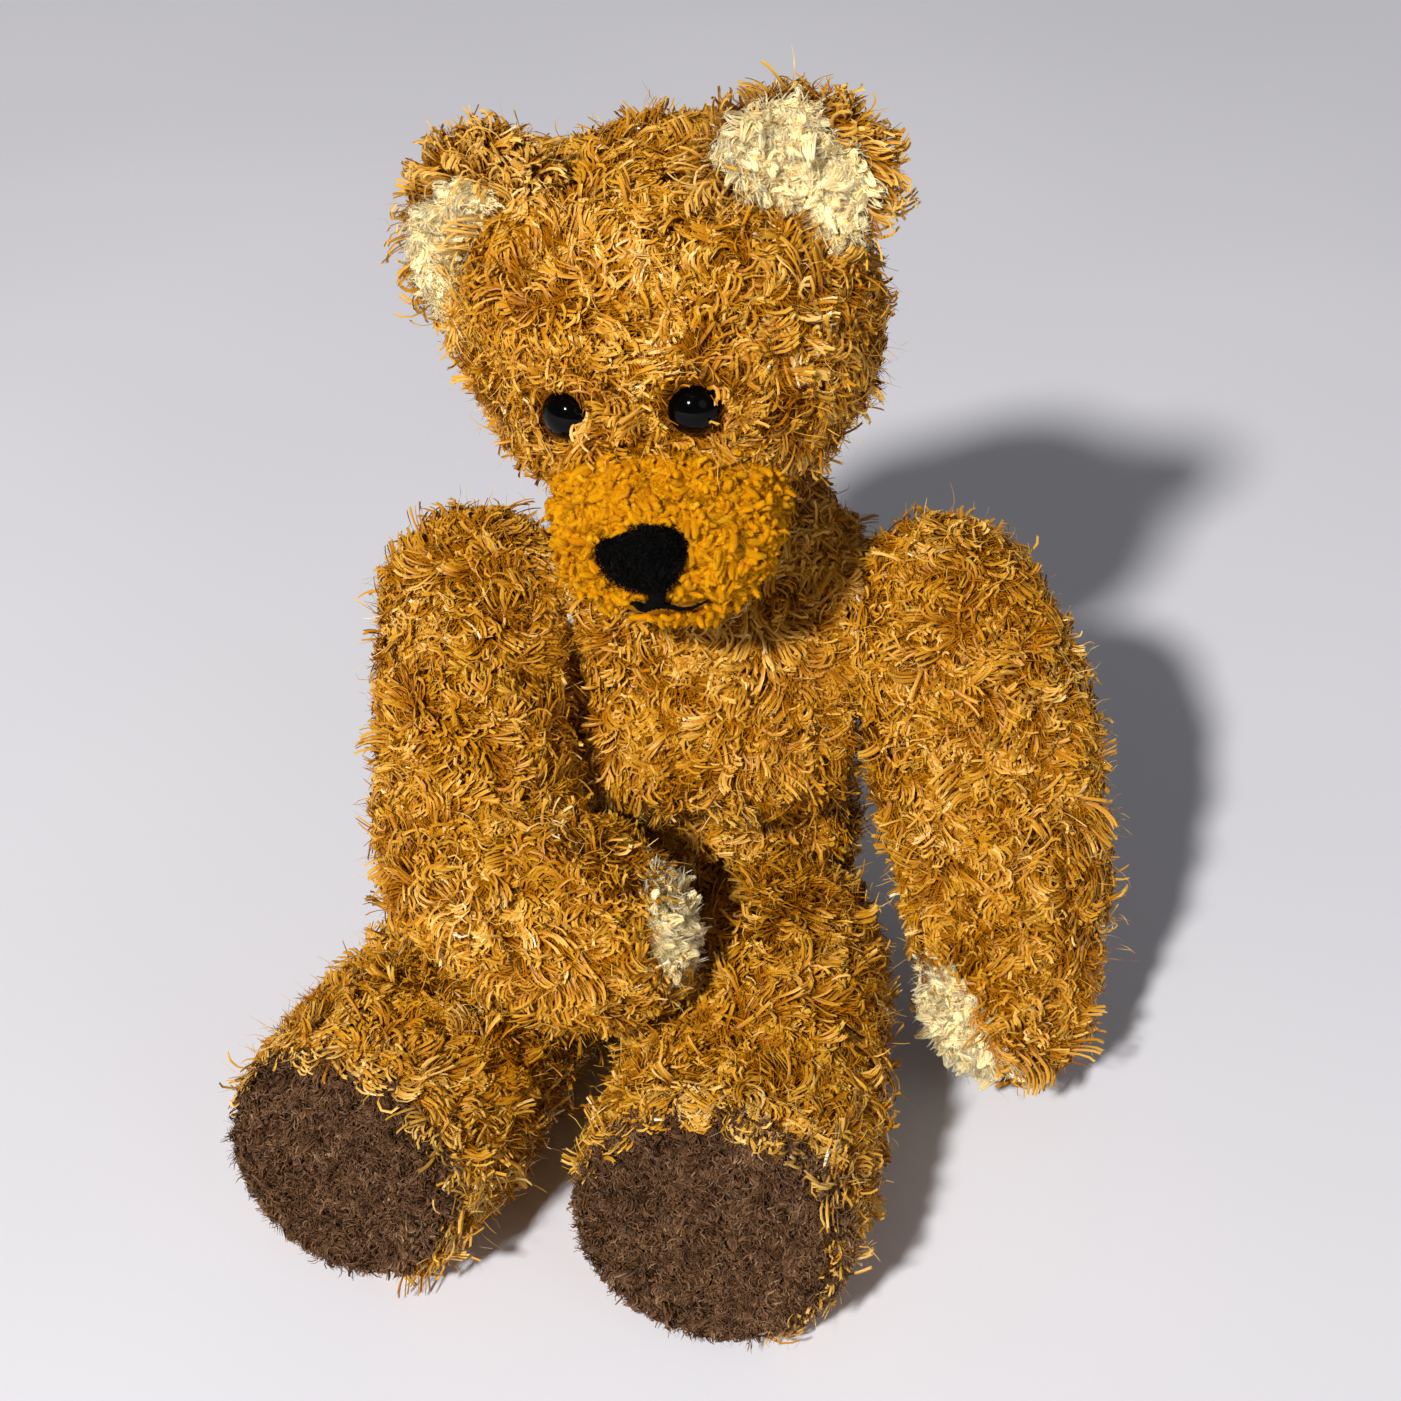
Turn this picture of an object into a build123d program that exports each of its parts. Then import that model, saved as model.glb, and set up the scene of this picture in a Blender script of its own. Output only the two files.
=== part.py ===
from build123d import *
from math import sin, cos, radians, pi, sqrt
import os

# Jointed teddy bear, sitting, facing -Y. Millimetres, +Z up.
# The origin is on the flat underside of the seat, which stands at z = 0.
# Every limb and the head turn on a plastic disc joint: a disc with a stem in the
# limb, a washer inside the torso that the stem runs in, and a lock ring on the stem.

# ---------------------------------------------------------------- driving dimensions
PILE = 4.0          # thickness of a cover: backing fabric and the standing half of its pile
FLAT = 2.0          # thickness of a cover where it is pressed flat at a joint
GAP = 0.5           # air between the two pressed faces of a joint
STEM_R = 3.0        # joint stem
RUN = 0.06          # radial running clearance of a stem in washer and torso cover
DISC_T = 2.0        # joint disc thickness
WASHER_T = 1.5      # washer thickness
RING_R = 5.6        # lock ring outer radius
RING_T = 2.2        # lock ring thickness
RING_PLAY = 0.3     # air between lock ring and washer
STEM_IN = 7.0       # how far a stem reaches into the torso
NECK_DISC_R = 13.0
SHOULDER_DISC_R = 12.0
HIP_DISC_R = 13.0
EYE_R = 5.25        # 10.5 mm safety eye
SHANK_R = 1.6
HIP_POCKET_R = 27.5 # hollow in the torso's side that a thigh turns in
HIP_FLAT_R = 34.5   # round the hip's axis, the thigh is flat; farther out it may bulge inward

ORIGIN_X, ORIGIN_Y = 4.0, -18.0


def P(x, y, z):
    """A point of the bear, moved so that the seat's flat is at the origin."""
    return Vector(x + ORIGIN_X, y + ORIGIN_Y, z)


def turned(x, y, z, pitch, yaw, roll):
    """The direction (x, y, z) after yaw about Z, then pitch about X, then roll about Y."""
    a, b, c = radians(yaw), radians(pitch), radians(roll)
    x, y = x * cos(a) - y * sin(a), x * sin(a) + y * cos(a)
    y, z = y * cos(b) - z * sin(b), y * sin(b) + z * cos(b)
    x, z = x * cos(c) + z * sin(c), -x * sin(c) + z * cos(c)
    return Vector(x, y, z)


# ---------------------------------------------------------------- reference planes
# the head bows forward, leans to the bear's right and looks a little to its right
HEAD_PITCH, HEAD_YAW, HEAD_ROLL = 20.0, -8.0, -11.0
HEAD_DROP = 36.25   # from the head's centre down to the neck's flat
head_x = turned(1, 0, 0, HEAD_PITCH, HEAD_YAW, HEAD_ROLL)
head_z = turned(0, 0, 1, HEAD_PITCH, HEAD_YAW, HEAD_ROLL)
head_frame = Plane(origin=P(-5.5, 0, 189), x_dir=head_x, z_dir=head_z)
neck = Plane(origin=head_frame.origin - head_z * HEAD_DROP, x_dir=head_x, z_dir=head_z)

# joint planes lie on the torso's flats, and their Z is the axis, pointing into the limb
left_shoulder = Plane(origin=P(33.0, 7, 112), x_dir=(0, 0, 1), z_dir=(1, 0, 0))
right_shoulder = Plane(origin=P(-31.0, 7, 110), x_dir=(0, 0, 1), z_dir=(-1, 0, 0))
left_hip = Plane(origin=P(4.0, -16, 28), x_dir=(0, 0, 1), z_dir=(1, 0, 0))
RIGHT_HIP_YAW = 12.0
right_hip = Plane(origin=P(-16.0, -14, 28), x_dir=(0, 0, 1),
                  z_dir=(-cos(radians(RIGHT_HIP_YAW)), sin(radians(RIGHT_HIP_YAW)), 0))


def inside(frame, x, y, z, normal=None):
    """A plane at a point given in frame, with its Z along normal, also given in frame."""
    o = frame.from_local_coords(Vector(x, y, z))
    if normal is None:
        return Plane(origin=o, x_dir=frame.x_dir, z_dir=frame.z_dir)
    n = (frame.x_dir * normal[0] + frame.y_dir * normal[1] + frame.z_dir * normal[2]).normalized()
    across = frame.x_dir - n * n.dot(frame.x_dir)
    return Plane(origin=o, x_dir=across.normalized(), z_dir=n)


# ---------------------------------------------------------------- limb paths
def stations(path, across, caps):
    """Planes and radii along a soft limb: path is [(point, radius across, radius the other way)],
    across is the direction of the first radius, caps says which ends are rounded off."""
    out = []
    n = len(path)
    pts = [p for p, _, _ in path]
    for i, (p, a, b) in enumerate(path):
        t = (pts[min(i + 1, n - 1)] - pts[max(i - 1, 0)]).normalized()
        out.append((p, t, a, b))
    if caps[0]:
        p, t, a, b = out[0]
        r = sqrt(a * b)
        out = [(p - t * r * sin(radians(q)), t, a * cos(radians(q)), b * cos(radians(q)))
               for q in (80, 64, 46, 24)] + out
    if caps[1]:
        p, t, a, b = out[-1]
        r = sqrt(a * b)
        out = out + [(p + t * r * sin(radians(q)), t, a * cos(radians(q)), b * cos(radians(q)))
                     for q in (24, 46, 64, 80)]
    res = []
    for p, t, a, b in out:
        x = Vector(*across)
        x = (x - t * t.dot(x)).normalized()
        res.append((Plane(origin=p, x_dir=x, z_dir=t), a, b))
    return res


def thinner(path, by):
    return [(p, a - by, b - by) for p, a, b in path]


def soft_loft(sections):
    """A soft shape lofted through ellipses."""
    with BuildPart() as soft:
        for plane, a, b in sections:
            with BuildSketch(plane):
                Ellipse(a, b)
        loft()
    return soft.part


def rod(plane, start, radius, length):
    """A round bar or bore along a plane's Z."""
    with BuildPart() as bar:
        with BuildSketch(plane.offset(start)):
            Circle(radius)
        extrude(amount=length)
    return bar.part


LEFT_ARM = [(P(53.8, 7, 112), 23.4, 22.5), (P(59.8, 2, 96), 23.0, 23.0), (P(66.0, -5, 77), 21.8, 22.5),
            (P(70.0, -13, 58), 20.2, 21.0), (P(72.5, -20, 42), 19.2, 19.8), (P(73.5, -26, 29), 18.6, 19.2)]
RIGHT_UPPER = [(P(-51.6, 7, 110), 23.4, 22.2), (P(-51.2, -10, 102), 22.4, 22.0), (P(-49.0, -31, 90), 22.0, 21.8),
               (P(-45.0, -48, 79.5), 22.0, 21.5)]
RIGHT_FORE = [(P(-43.5, -49.5, 79.0), 21.0, 21.8), (P(-30, -56.5, 76.0), 21.2, 21.6), (P(-18, -61.5, 73.5), 20.6, 21.0),
              (P(-9, -64.5, 71.8), 19.0, 19.6)]
LEFT_LEG = [(P(22.2, -16, 28), 22.0, 26.0), (P(21.6, -32, 27.2), 23.0, 25.6), (P(20.0, -48, 27.2), 25.0, 26.2),
            (P(17.5, -67, 28.4), 28.0, 28.4), (P(14.9, -85, 29.8), 29.8, 30.0), (P(13.3, -97, 30.4), 29.0, 30.0)]
RIGHT_LEG = [(P(-34.2, -14, 28), 22.0, 26.0), (P(-40.4, -29, 27.2), 23.0, 25.6), (P(-46.6, -44, 27.2), 25.0, 26.2),
             (P(-54.0, -62, 28.4), 28.0, 28.4), (P(-60.6, -78, 29.8), 29.8, 30.0), (P(-64.9, -88.6, 30.4), 29.0, 30.0)]
SOLE_LEAN = 12.0    # the sole leans back at the toe


def sole_plane(path, lean):
    p, q = path[-2][0], path[-1][0]
    t = q - p
    t = Vector(t.X, t.Y, 0).normalized()
    n = t * cos(radians(lean)) + Vector(0, 0, 1) * sin(radians(lean))
    x = Vector(-t.Y, t.X, 0)
    return Plane(origin=q + t * 9.5, x_dir=x.normalized(), z_dir=n)


left_sole = sole_plane(LEFT_LEG, SOLE_LEAN)
right_sole = sole_plane(RIGHT_LEG, SOLE_LEAN)
SOLE_A, SOLE_B = 27.6, 29.2

TORSO = [(-4.0, 8.0, 0.0, 0, 24.0, 24.0), (-4.0, 7.0, 3.5, 0, 29.5, 28.5), (-3.6, 4.0, 13.0, -2, 34.0, 32.0),
         (-3.0, 1.0, 30.0, -6, 36.0, 33.5), (-2.0, 2.5, 52.0, -10, 36.0, 32.5), (-0.5, 6.0, 76.0, -13, 34.5, 30.0),
         (1.0, 10.0, 98.0, -12, 35.4, 28.0), (1.3, 12.4, 116.0, -7, 34.6, 25.6), (1.5, 13.8, 131.5, 1, 29.0, 22.0),
         (1.4, 13.4, 145.0, 10, 20.6, 17.4)]


def torso_sections(by):
    out = []
    for x, y, z, tilt, a, b in TORSO:
        rise = by if z == 0 else 0
        out.append((Plane(origin=P(x, y, z + rise), x_dir=(1, 0, 0),
                          z_dir=(0, -sin(radians(tilt)), cos(radians(tilt)))), a - by, b - by))
    out.append((neck.offset(-FLAT if by else 0), 14.5 - by, 14.0 - by))
    return out


def hip_pocket(plane, side, radius, deep):
    """The hollow that a thigh turns in, from sitting forward to hanging down."""
    with BuildPart() as hollow:
        with BuildSketch(plane.offset(-deep)):
            Circle(radius)
            with Locations((radius / 2 - 50, side * 100)):
                Rectangle(radius + 100, 200)
            with Locations((-50, side * (100 - radius))):
                Rectangle(100, 200)
        extrude(amount=90)
    return hollow.part


# joint plane, disc radius, washer radius
JOINTS = {"neck": (neck, NECK_DISC_R, 11.0), "left_shoulder": (left_shoulder, SHOULDER_DISC_R, 10.5),
          "right_shoulder": (right_shoulder, SHOULDER_DISC_R, 10.5), "left_hip": (left_hip, HIP_DISC_R, 11.5),
          "right_hip": (right_hip, HIP_DISC_R, 11.5)}

# ================================================================ torso
with BuildPart() as body_filling:      # the space inside the torso's cover
    add(soft_loft(torso_sections(PILE)))
    add(hip_pocket(left_hip, 1, HIP_POCKET_R + PILE - 0.5, FLAT), mode=Mode.SUBTRACT)
    add(hip_pocket(right_hip, -1, HIP_POCKET_R + PILE - 0.5, FLAT), mode=Mode.SUBTRACT)
    split(bisect_by=left_shoulder.offset(-FLAT), keep=Keep.BOTTOM)
    split(bisect_by=right_shoulder.offset(-FLAT), keep=Keep.BOTTOM)
    for plane, _, washer_r in JOINTS.values():   # the cover is pressed thin over each washer
        add(rod(plane, -FLAT - 5, washer_r + 0.5, 5))

with BuildPart() as body_cover:
    add(soft_loft(torso_sections(0)))
    add(hip_pocket(left_hip, 1, HIP_POCKET_R, 0), mode=Mode.SUBTRACT)
    add(hip_pocket(right_hip, -1, HIP_POCKET_R, 0), mode=Mode.SUBTRACT)
    split(bisect_by=left_shoulder, keep=Keep.BOTTOM)
    split(bisect_by=right_shoulder, keep=Keep.BOTTOM)
    add(body_filling.part, mode=Mode.SUBTRACT)
    for plane, _, _ in JOINTS.values():
        with BuildSketch(plane.offset(-FLAT - 0.5)):
            Circle(STEM_R + RUN)
        extrude(amount=FLAT + 1.5, mode=Mode.SUBTRACT)

with BuildPart() as body_stuffing:
    add(body_filling.part)
    for plane, _, washer_r in JOINTS.values():
        with BuildSketch(plane.offset(-FLAT - WASHER_T)):
            Circle(washer_r)
        extrude(amount=WASHER_T + 1, mode=Mode.SUBTRACT)
        with BuildSketch(plane.offset(-STEM_IN - 0.8)):
            Circle(RING_R + 0.8)
        extrude(amount=STEM_IN, mode=Mode.SUBTRACT)

# ================================================================ head
HEAD = [(-35.75, 15.5, 15.0), (-33.0, 21.5, 20.5), (-27.0, 31.0, 29.0), (-17.0, 39.8, 37.0), (-4.0, 43.2, 40.2),
        (8.0, 42.2, 39.4), (20.0, 37.2, 34.8), (29.0, 28.5, 27.0), (34.8, 17.5, 17.0), (37.6, 8.0, 8.0)]
with BuildPart() as head_outside:
    add(soft_loft([(head_frame.offset(z), a, b) for z, a, b in HEAD]))
with BuildPart() as head_filling:
    add(soft_loft([(head_frame.offset(z if z > -30 else z + (FLAT if z < -35 else 1.2)),
                    a - (PILE if z < 33 else PILE + 1), b - (PILE if z < 33 else PILE + 1))
                   for z, a, b in HEAD[:-1]]))
    add(rod(neck, GAP + FLAT, NECK_DISC_R + 0.6, 4))

EYE_AT = (14.0, -36.2, 10.8)
EYE_OUT = (0.31, -0.90, 0.29)
right_eye_plane = inside(head_frame, -EYE_AT[0], EYE_AT[1], EYE_AT[2], (-EYE_OUT[0], EYE_OUT[1], EYE_OUT[2]))
left_eye_plane = inside(head_frame, EYE_AT[0], EYE_AT[1], EYE_AT[2], EYE_OUT)
EYE_SINK = 2.6      # the eye's flat back lies this far under the pile's surface

with BuildPart() as head_cover:
    add(head_outside.part)
    add(head_filling.part, mode=Mode.SUBTRACT)
    for plane in (left_eye_plane, right_eye_plane):
        with BuildSketch(plane.offset(-EYE_SINK)):
            Circle(EYE_R)
        extrude(amount=12, mode=Mode.SUBTRACT)
        with BuildSketch(plane.offset(-9)):
            Circle(SHANK_R)
        extrude(amount=9, mode=Mode.SUBTRACT)
    with BuildSketch(neck.offset(-1)):
        Circle(STEM_R)
    extrude(amount=5, mode=Mode.SUBTRACT)

with BuildPart() as head_stuffing:
    add(head_filling.part)
    with BuildSketch(neck.offset(GAP + FLAT - 1)):
        Circle(NECK_DISC_R)
    extrude(amount=DISC_T + 1, mode=Mode.SUBTRACT)
    for plane in (left_eye_plane, right_eye_plane):
        with BuildSketch(plane.offset(-10.5)):
            Circle(6.2)
        extrude(amount=7.5, mode=Mode.SUBTRACT)

# muzzle: a snout of its own, sewn on the lower front of the head
MUZZLE_Z = -16.0
MUZZLE = [(-20.0, 21.0, 17.0), (-34.0, 22.5, 18.3), (-41.0, 21.6, 17.6), (-47.0, 18.8, 15.3), (-51.5, 14.6, 12.0),
          (-54.6, 9.2, 7.6), (-55.9, 4.2, 3.6)]


def muzzle_sections(by):
    return [(Plane(origin=head_frame.from_local_coords(Vector(0.6, y + by, MUZZLE_Z)), x_dir=head_frame.x_dir,
                   z_dir=-head_frame.y_dir), a - by, b - by) for y, a, b in MUZZLE]


with BuildPart() as muzzle_outside:
    add(soft_loft(muzzle_sections(0)))
with BuildPart() as muzzle_filling:
    add(soft_loft(muzzle_sections(3.0)))
    add(head_outside.part, mode=Mode.SUBTRACT)

NOSE_PLANE = inside(head_frame, 0.8, -54.0, -9.5, (0.0, -0.95, 0.31))
with BuildPart() as nose:
    with BuildSketch(NOSE_PLANE.offset(-3.2)):
        Ellipse(9.4, 8.0)
    with BuildSketch(NOSE_PLANE.offset(0.4)):
        Ellipse(9.2, 7.8)
    with BuildSketch(NOSE_PLANE.offset(2.2)):
        Ellipse(7.2, 6.0)
    with BuildSketch(NOSE_PLANE.offset(3.0)):
        Ellipse(3.6, 3.0)
    loft()

with BuildPart() as muzzle_nose_seat:   # what the nose and its pocket take out of the muzzle
    with BuildSketch(NOSE_PLANE.offset(-3.2)):
        Ellipse(9.4, 8.0)
    extrude(amount=12)

# mouth: one upright stitch below the nose and one curved stitch across
with BuildPart() as mouth_stitch:
    add(soft_loft([(pl, a + 0.9, b + 0.9) for pl, a, b in muzzle_sections(0)]))
    mouth_plane = Plane(origin=head_frame.from_local_coords(Vector(0.8, -80, -23.0)), x_dir=head_frame.x_dir,
                        z_dir=-head_frame.y_dir)
    with BuildSketch(mouth_plane):
        Rectangle(2.0, 9.0)
        with BuildLine():
            ThreePointArc((-9.0, -3.6), (0, -5.4), (9.0, -3.6))
            Line((9.0, -3.6), (9.3, -1.9))
            ThreePointArc((9.3, -1.9), (0, -3.7), (-9.3, -1.9))
            Line((-9.3, -1.9), (-9.0, -3.6))
        make_face()
    extrude(amount=-45, mode=Mode.INTERSECT)
    add(muzzle_outside.part, mode=Mode.SUBTRACT)
    add(muzzle_nose_seat.part, mode=Mode.SUBTRACT)
    add(head_outside.part, mode=Mode.SUBTRACT)

with BuildPart() as muzzle:
    add(muzzle_outside.part)
    add(head_outside.part, mode=Mode.SUBTRACT)
    add(muzzle_filling.part, mode=Mode.SUBTRACT)
    add(muzzle_nose_seat.part, mode=Mode.SUBTRACT)
    add(nose.part, mode=Mode.SUBTRACT)

with BuildPart() as muzzle_stuffing:
    add(muzzle_filling.part)
    add(muzzle_nose_seat.part, mode=Mode.SUBTRACT)
    add(nose.part, mode=Mode.SUBTRACT)

# ears: a pile back and rim, with a pale lining let into the front
EAR_R, LINING_R = 19.0, 13.5


def ear_plane(side):
    return inside(head_frame, side * 32.5, 3.0, 31.5, (side * 0.22, -0.94, 0.24))


def ear_back(side):
    with BuildPart() as flap:
        with BuildSketch(ear_plane(side).offset(-5.0)):
            Circle(EAR_R)
        extrude(amount=9.0)
        fillet(edges().filter_by(GeomType.CIRCLE), 3.6)
        with BuildSketch(ear_plane(side).offset(0.5)):
            Circle(LINING_R)
        extrude(amount=6, mode=Mode.SUBTRACT)
        add(head_outside.part, mode=Mode.SUBTRACT)
    return flap.part


def ear_front(side):
    with BuildPart() as lining:
        with BuildSketch(ear_plane(side).offset(0.5)):
            Circle(LINING_R)
        extrude(amount=3.0)
        add(head_outside.part, mode=Mode.SUBTRACT)
    return lining.part


with BuildPart() as left_ear:
    add(ear_back(1))
with BuildPart() as right_ear:
    add(ear_back(-1))
with BuildPart() as left_ear_lining:
    add(ear_front(1))
with BuildPart() as right_ear_lining:
    add(ear_front(-1))


# eyes: glossy domes on a shank, each held by a washer behind the cover
SHANK_END = -8.5


def eye(plane):
    with BuildPart() as button:
        with BuildSketch(Plane(origin=plane.origin, x_dir=plane.x_dir, z_dir=-plane.y_dir)):
            with BuildLine():
                Line((0, SHANK_END), (0, 2.4))
                ThreePointArc((0, 2.4), (EYE_R * 0.76, 1.05), (EYE_R, -EYE_SINK + 0.8))
                Polyline((EYE_R, -EYE_SINK + 0.8), (EYE_R - 0.3, -EYE_SINK), (SHANK_R, -EYE_SINK),
                         (SHANK_R, SHANK_END), (0, SHANK_END))
            make_face()
        revolve(axis=Axis(plane.origin, plane.z_dir), revolution_arc=360)
    return button.part


def eye_washer(plane):
    with BuildPart() as lock:
        with BuildSketch(plane.offset(-6.2)):
            Circle(5.6)
            Circle(SHANK_R, mode=Mode.SUBTRACT)
        extrude(amount=1.0)
        with BuildSketch(plane.offset(-7.0)):
            Circle(2.8)
            Circle(SHANK_R, mode=Mode.SUBTRACT)
        extrude(amount=0.8)
    return lock.part


with BuildPart() as left_eye:
    add(eye(left_eye_plane))
with BuildPart() as right_eye:
    add(eye(right_eye_plane))
with BuildPart() as left_eye_washer:
    add(eye_washer(left_eye_plane))
with BuildPart() as right_eye_washer:
    add(eye_washer(right_eye_plane))


# ================================================================ limbs
def inner_side(plane, radius, face):
    """What is taken off a limb's inner side, round its joint's axis, to make it flat."""
    return rod(plane, -60, radius, 60 + face)


def disc_room(plane, disc_r):
    """The space that a limb's disc takes in its filling."""
    return rod(plane, GAP + FLAT - 1, disc_r, DISC_T + 1)


def stem_hole(plane):
    """The hole for the stem in a limb's cover."""
    return rod(plane, -1, STEM_R, 6)


# left arm: hangs beside the body, paw by the floor
with BuildPart() as left_arm_filling:
    add(soft_loft(stations(thinner(LEFT_ARM, PILE), (1, 0, 0), (True, True))))
    split(bisect_by=left_shoulder.offset(GAP + FLAT), keep=Keep.TOP)
    add(rod(left_shoulder, GAP + FLAT, SHOULDER_DISC_R + 0.6, 5))
with BuildPart() as left_palm_block:
    left_palm = Plane(origin=P(60.0, -36, 27), x_dir=(0, 0.35, 0.93), z_dir=(-0.80, -0.52, 0.2))
    with BuildSketch(left_palm.offset(-9)):
        Ellipse(17, 11)
    extrude(amount=20)
with BuildPart() as left_arm_cover:
    add(soft_loft(stations(LEFT_ARM, (1, 0, 0), (True, True))))
    split(bisect_by=left_shoulder.offset(GAP), keep=Keep.TOP)
    add(left_arm_filling.part, mode=Mode.SUBTRACT)
    add(stem_hole(left_shoulder), mode=Mode.SUBTRACT)
with BuildPart() as left_palm_pad:
    add(left_arm_cover.part)
    add(left_palm_block.part, mode=Mode.INTERSECT)
with BuildPart() as left_arm_cover_cut:
    add(left_arm_cover.part)
    add(left_palm_block.part, mode=Mode.SUBTRACT)
with BuildPart() as left_arm_stuffing:
    add(left_arm_filling.part)
    add(disc_room(left_shoulder, SHOULDER_DISC_R), mode=Mode.SUBTRACT)

# right arm: bent at the elbow, forearm across the lap
with BuildPart() as right_forearm_outside:
    add(soft_loft(stations(RIGHT_FORE, (0, 0, 1), (True, True))))
with BuildPart() as right_forearm_inside:
    add(soft_loft(stations(thinner(RIGHT_FORE, PILE), (0, 0, 1), (True, True))))
with BuildPart() as right_arm_outside:
    add(soft_loft(stations(RIGHT_UPPER, (1, 0, 0), (True, True))))
    split(bisect_by=right_shoulder.offset(GAP), keep=Keep.TOP)
    add(right_forearm_outside.part)
with BuildPart() as right_arm_filling:
    add(soft_loft(stations(thinner(RIGHT_UPPER, PILE), (1, 0, 0), (True, True))))
    split(bisect_by=right_shoulder.offset(GAP + FLAT), keep=Keep.TOP)
    add(rod(right_shoulder, GAP + FLAT, SHOULDER_DISC_R + 0.6, 5))
    add(right_forearm_inside.part)
with BuildPart() as right_palm_block:
    right_palm = Plane(origin=P(6.0, -63, 70), x_dir=(0, 1, 0), z_dir=(0.93, -0.1, -0.36))
    with BuildSketch(right_palm.offset(-9)):
        Ellipse(12, 16)
    extrude(amount=24)
with BuildPart() as right_arm_shell:
    add(right_arm_outside.part)
    add(right_arm_filling.part, mode=Mode.SUBTRACT)
    add(stem_hole(right_shoulder), mode=Mode.SUBTRACT)
with BuildPart() as right_palm_pad:
    add(right_arm_shell.part)
    add(right_palm_block.part, mode=Mode.INTERSECT)
with BuildPart() as right_arm_cover:
    add(right_arm_shell.part)
    add(right_palm_block.part, mode=Mode.SUBTRACT)
with BuildPart() as right_arm_stuffing:
    add(right_arm_filling.part)
    add(disc_room(right_shoulder, SHOULDER_DISC_R), mode=Mode.SUBTRACT)


# legs: stretched forward on the floor, each closed by a brown sole
def leg_outline(path, sole, a, b):
    return stations(path, (1, 0, 0), (True, False)) + [(sole, a, b)]


def foot_pad(sole):
    return soft_loft([(sole, SOLE_A, SOLE_B), (sole.offset(2.6), SOLE_A - 0.9, SOLE_B - 0.9),
                      (sole.offset(4.2), SOLE_A - 4.5, SOLE_B - 4.5), (sole.offset(5.0), SOLE_A - 12, SOLE_B - 12)])


floor = Plane.XY

with BuildPart() as left_leg_filling:
    add(soft_loft(leg_outline(thinner(LEFT_LEG, PILE), left_sole, SOLE_A - PILE, SOLE_B - PILE)))
    add(inner_side(left_hip, HIP_FLAT_R + PILE, GAP + FLAT), mode=Mode.SUBTRACT)
    add(rod(left_hip, GAP + FLAT, HIP_DISC_R + 0.6, 5))
with BuildPart() as left_leg_cover:
    add(soft_loft(leg_outline(LEFT_LEG, left_sole, SOLE_A, SOLE_B)))
    add(inner_side(left_hip, HIP_FLAT_R, GAP), mode=Mode.SUBTRACT)
    split(bisect_by=floor, keep=Keep.TOP)
    add(left_leg_filling.part, mode=Mode.SUBTRACT)
    add(stem_hole(left_hip), mode=Mode.SUBTRACT)
with BuildPart() as left_leg_stuffing:
    add(left_leg_filling.part)
    add(disc_room(left_hip, HIP_DISC_R), mode=Mode.SUBTRACT)
    add(foot_pad(left_sole), mode=Mode.SUBTRACT)
with BuildPart() as left_foot_pad:
    add(foot_pad(left_sole))
    split(bisect_by=floor, keep=Keep.TOP)

with BuildPart() as right_leg_filling:
    add(soft_loft(leg_outline(thinner(RIGHT_LEG, PILE), right_sole, SOLE_A - PILE, SOLE_B - PILE)))
    add(inner_side(right_hip, HIP_FLAT_R + PILE, GAP + FLAT), mode=Mode.SUBTRACT)
    add(rod(right_hip, GAP + FLAT, HIP_DISC_R + 0.6, 5))
with BuildPart() as right_leg_cover:
    add(soft_loft(leg_outline(RIGHT_LEG, right_sole, SOLE_A, SOLE_B)))
    add(inner_side(right_hip, HIP_FLAT_R, GAP), mode=Mode.SUBTRACT)
    split(bisect_by=floor, keep=Keep.TOP)
    add(right_leg_filling.part, mode=Mode.SUBTRACT)
    add(stem_hole(right_hip), mode=Mode.SUBTRACT)
with BuildPart() as right_leg_stuffing:
    add(right_leg_filling.part)
    add(disc_room(right_hip, HIP_DISC_R), mode=Mode.SUBTRACT)
    add(foot_pad(right_sole), mode=Mode.SUBTRACT)
with BuildPart() as right_foot_pad:
    add(foot_pad(right_sole))
    split(bisect_by=floor, keep=Keep.TOP)


# ================================================================ joint hardware
def disc_and_stem(plane, disc_r):
    with BuildPart() as joint_disc:
        with BuildSketch(plane.offset(GAP + FLAT)):
            Circle(disc_r)
        extrude(amount=DISC_T)
        chamfer(edges().filter_by(GeomType.CIRCLE).sort_by(Axis(plane.origin, plane.z_dir))[-1], 0.5)
        with BuildSketch(plane.offset(-STEM_IN)):
            Circle(STEM_R)
        extrude(amount=STEM_IN + GAP + FLAT)
        chamfer(edges().filter_by(GeomType.CIRCLE).sort_by(Axis(plane.origin, plane.z_dir))[0], 0.6)
    return joint_disc.part


def ring(plane, start, outer, bore, length):
    with BuildPart() as collar:
        with BuildSketch(plane.offset(start)):
            Circle(outer)
            Circle(bore, mode=Mode.SUBTRACT)
        extrude(amount=length)
    return collar.part


def washer(plane, washer_r):
    return ring(plane, -FLAT - WASHER_T, washer_r, STEM_R + RUN, WASHER_T)


def lock_ring(plane):
    return ring(plane, -FLAT - WASHER_T - RING_PLAY - RING_T, RING_R, STEM_R, RING_T)


with BuildPart() as neck_disc:
    add(disc_and_stem(neck, NECK_DISC_R))
with BuildPart() as left_shoulder_disc:
    add(disc_and_stem(left_shoulder, SHOULDER_DISC_R))
with BuildPart() as right_shoulder_disc:
    add(disc_and_stem(right_shoulder, SHOULDER_DISC_R))
with BuildPart() as left_hip_disc:
    add(disc_and_stem(left_hip, HIP_DISC_R))
with BuildPart() as right_hip_disc:
    add(disc_and_stem(right_hip, HIP_DISC_R))

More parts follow.
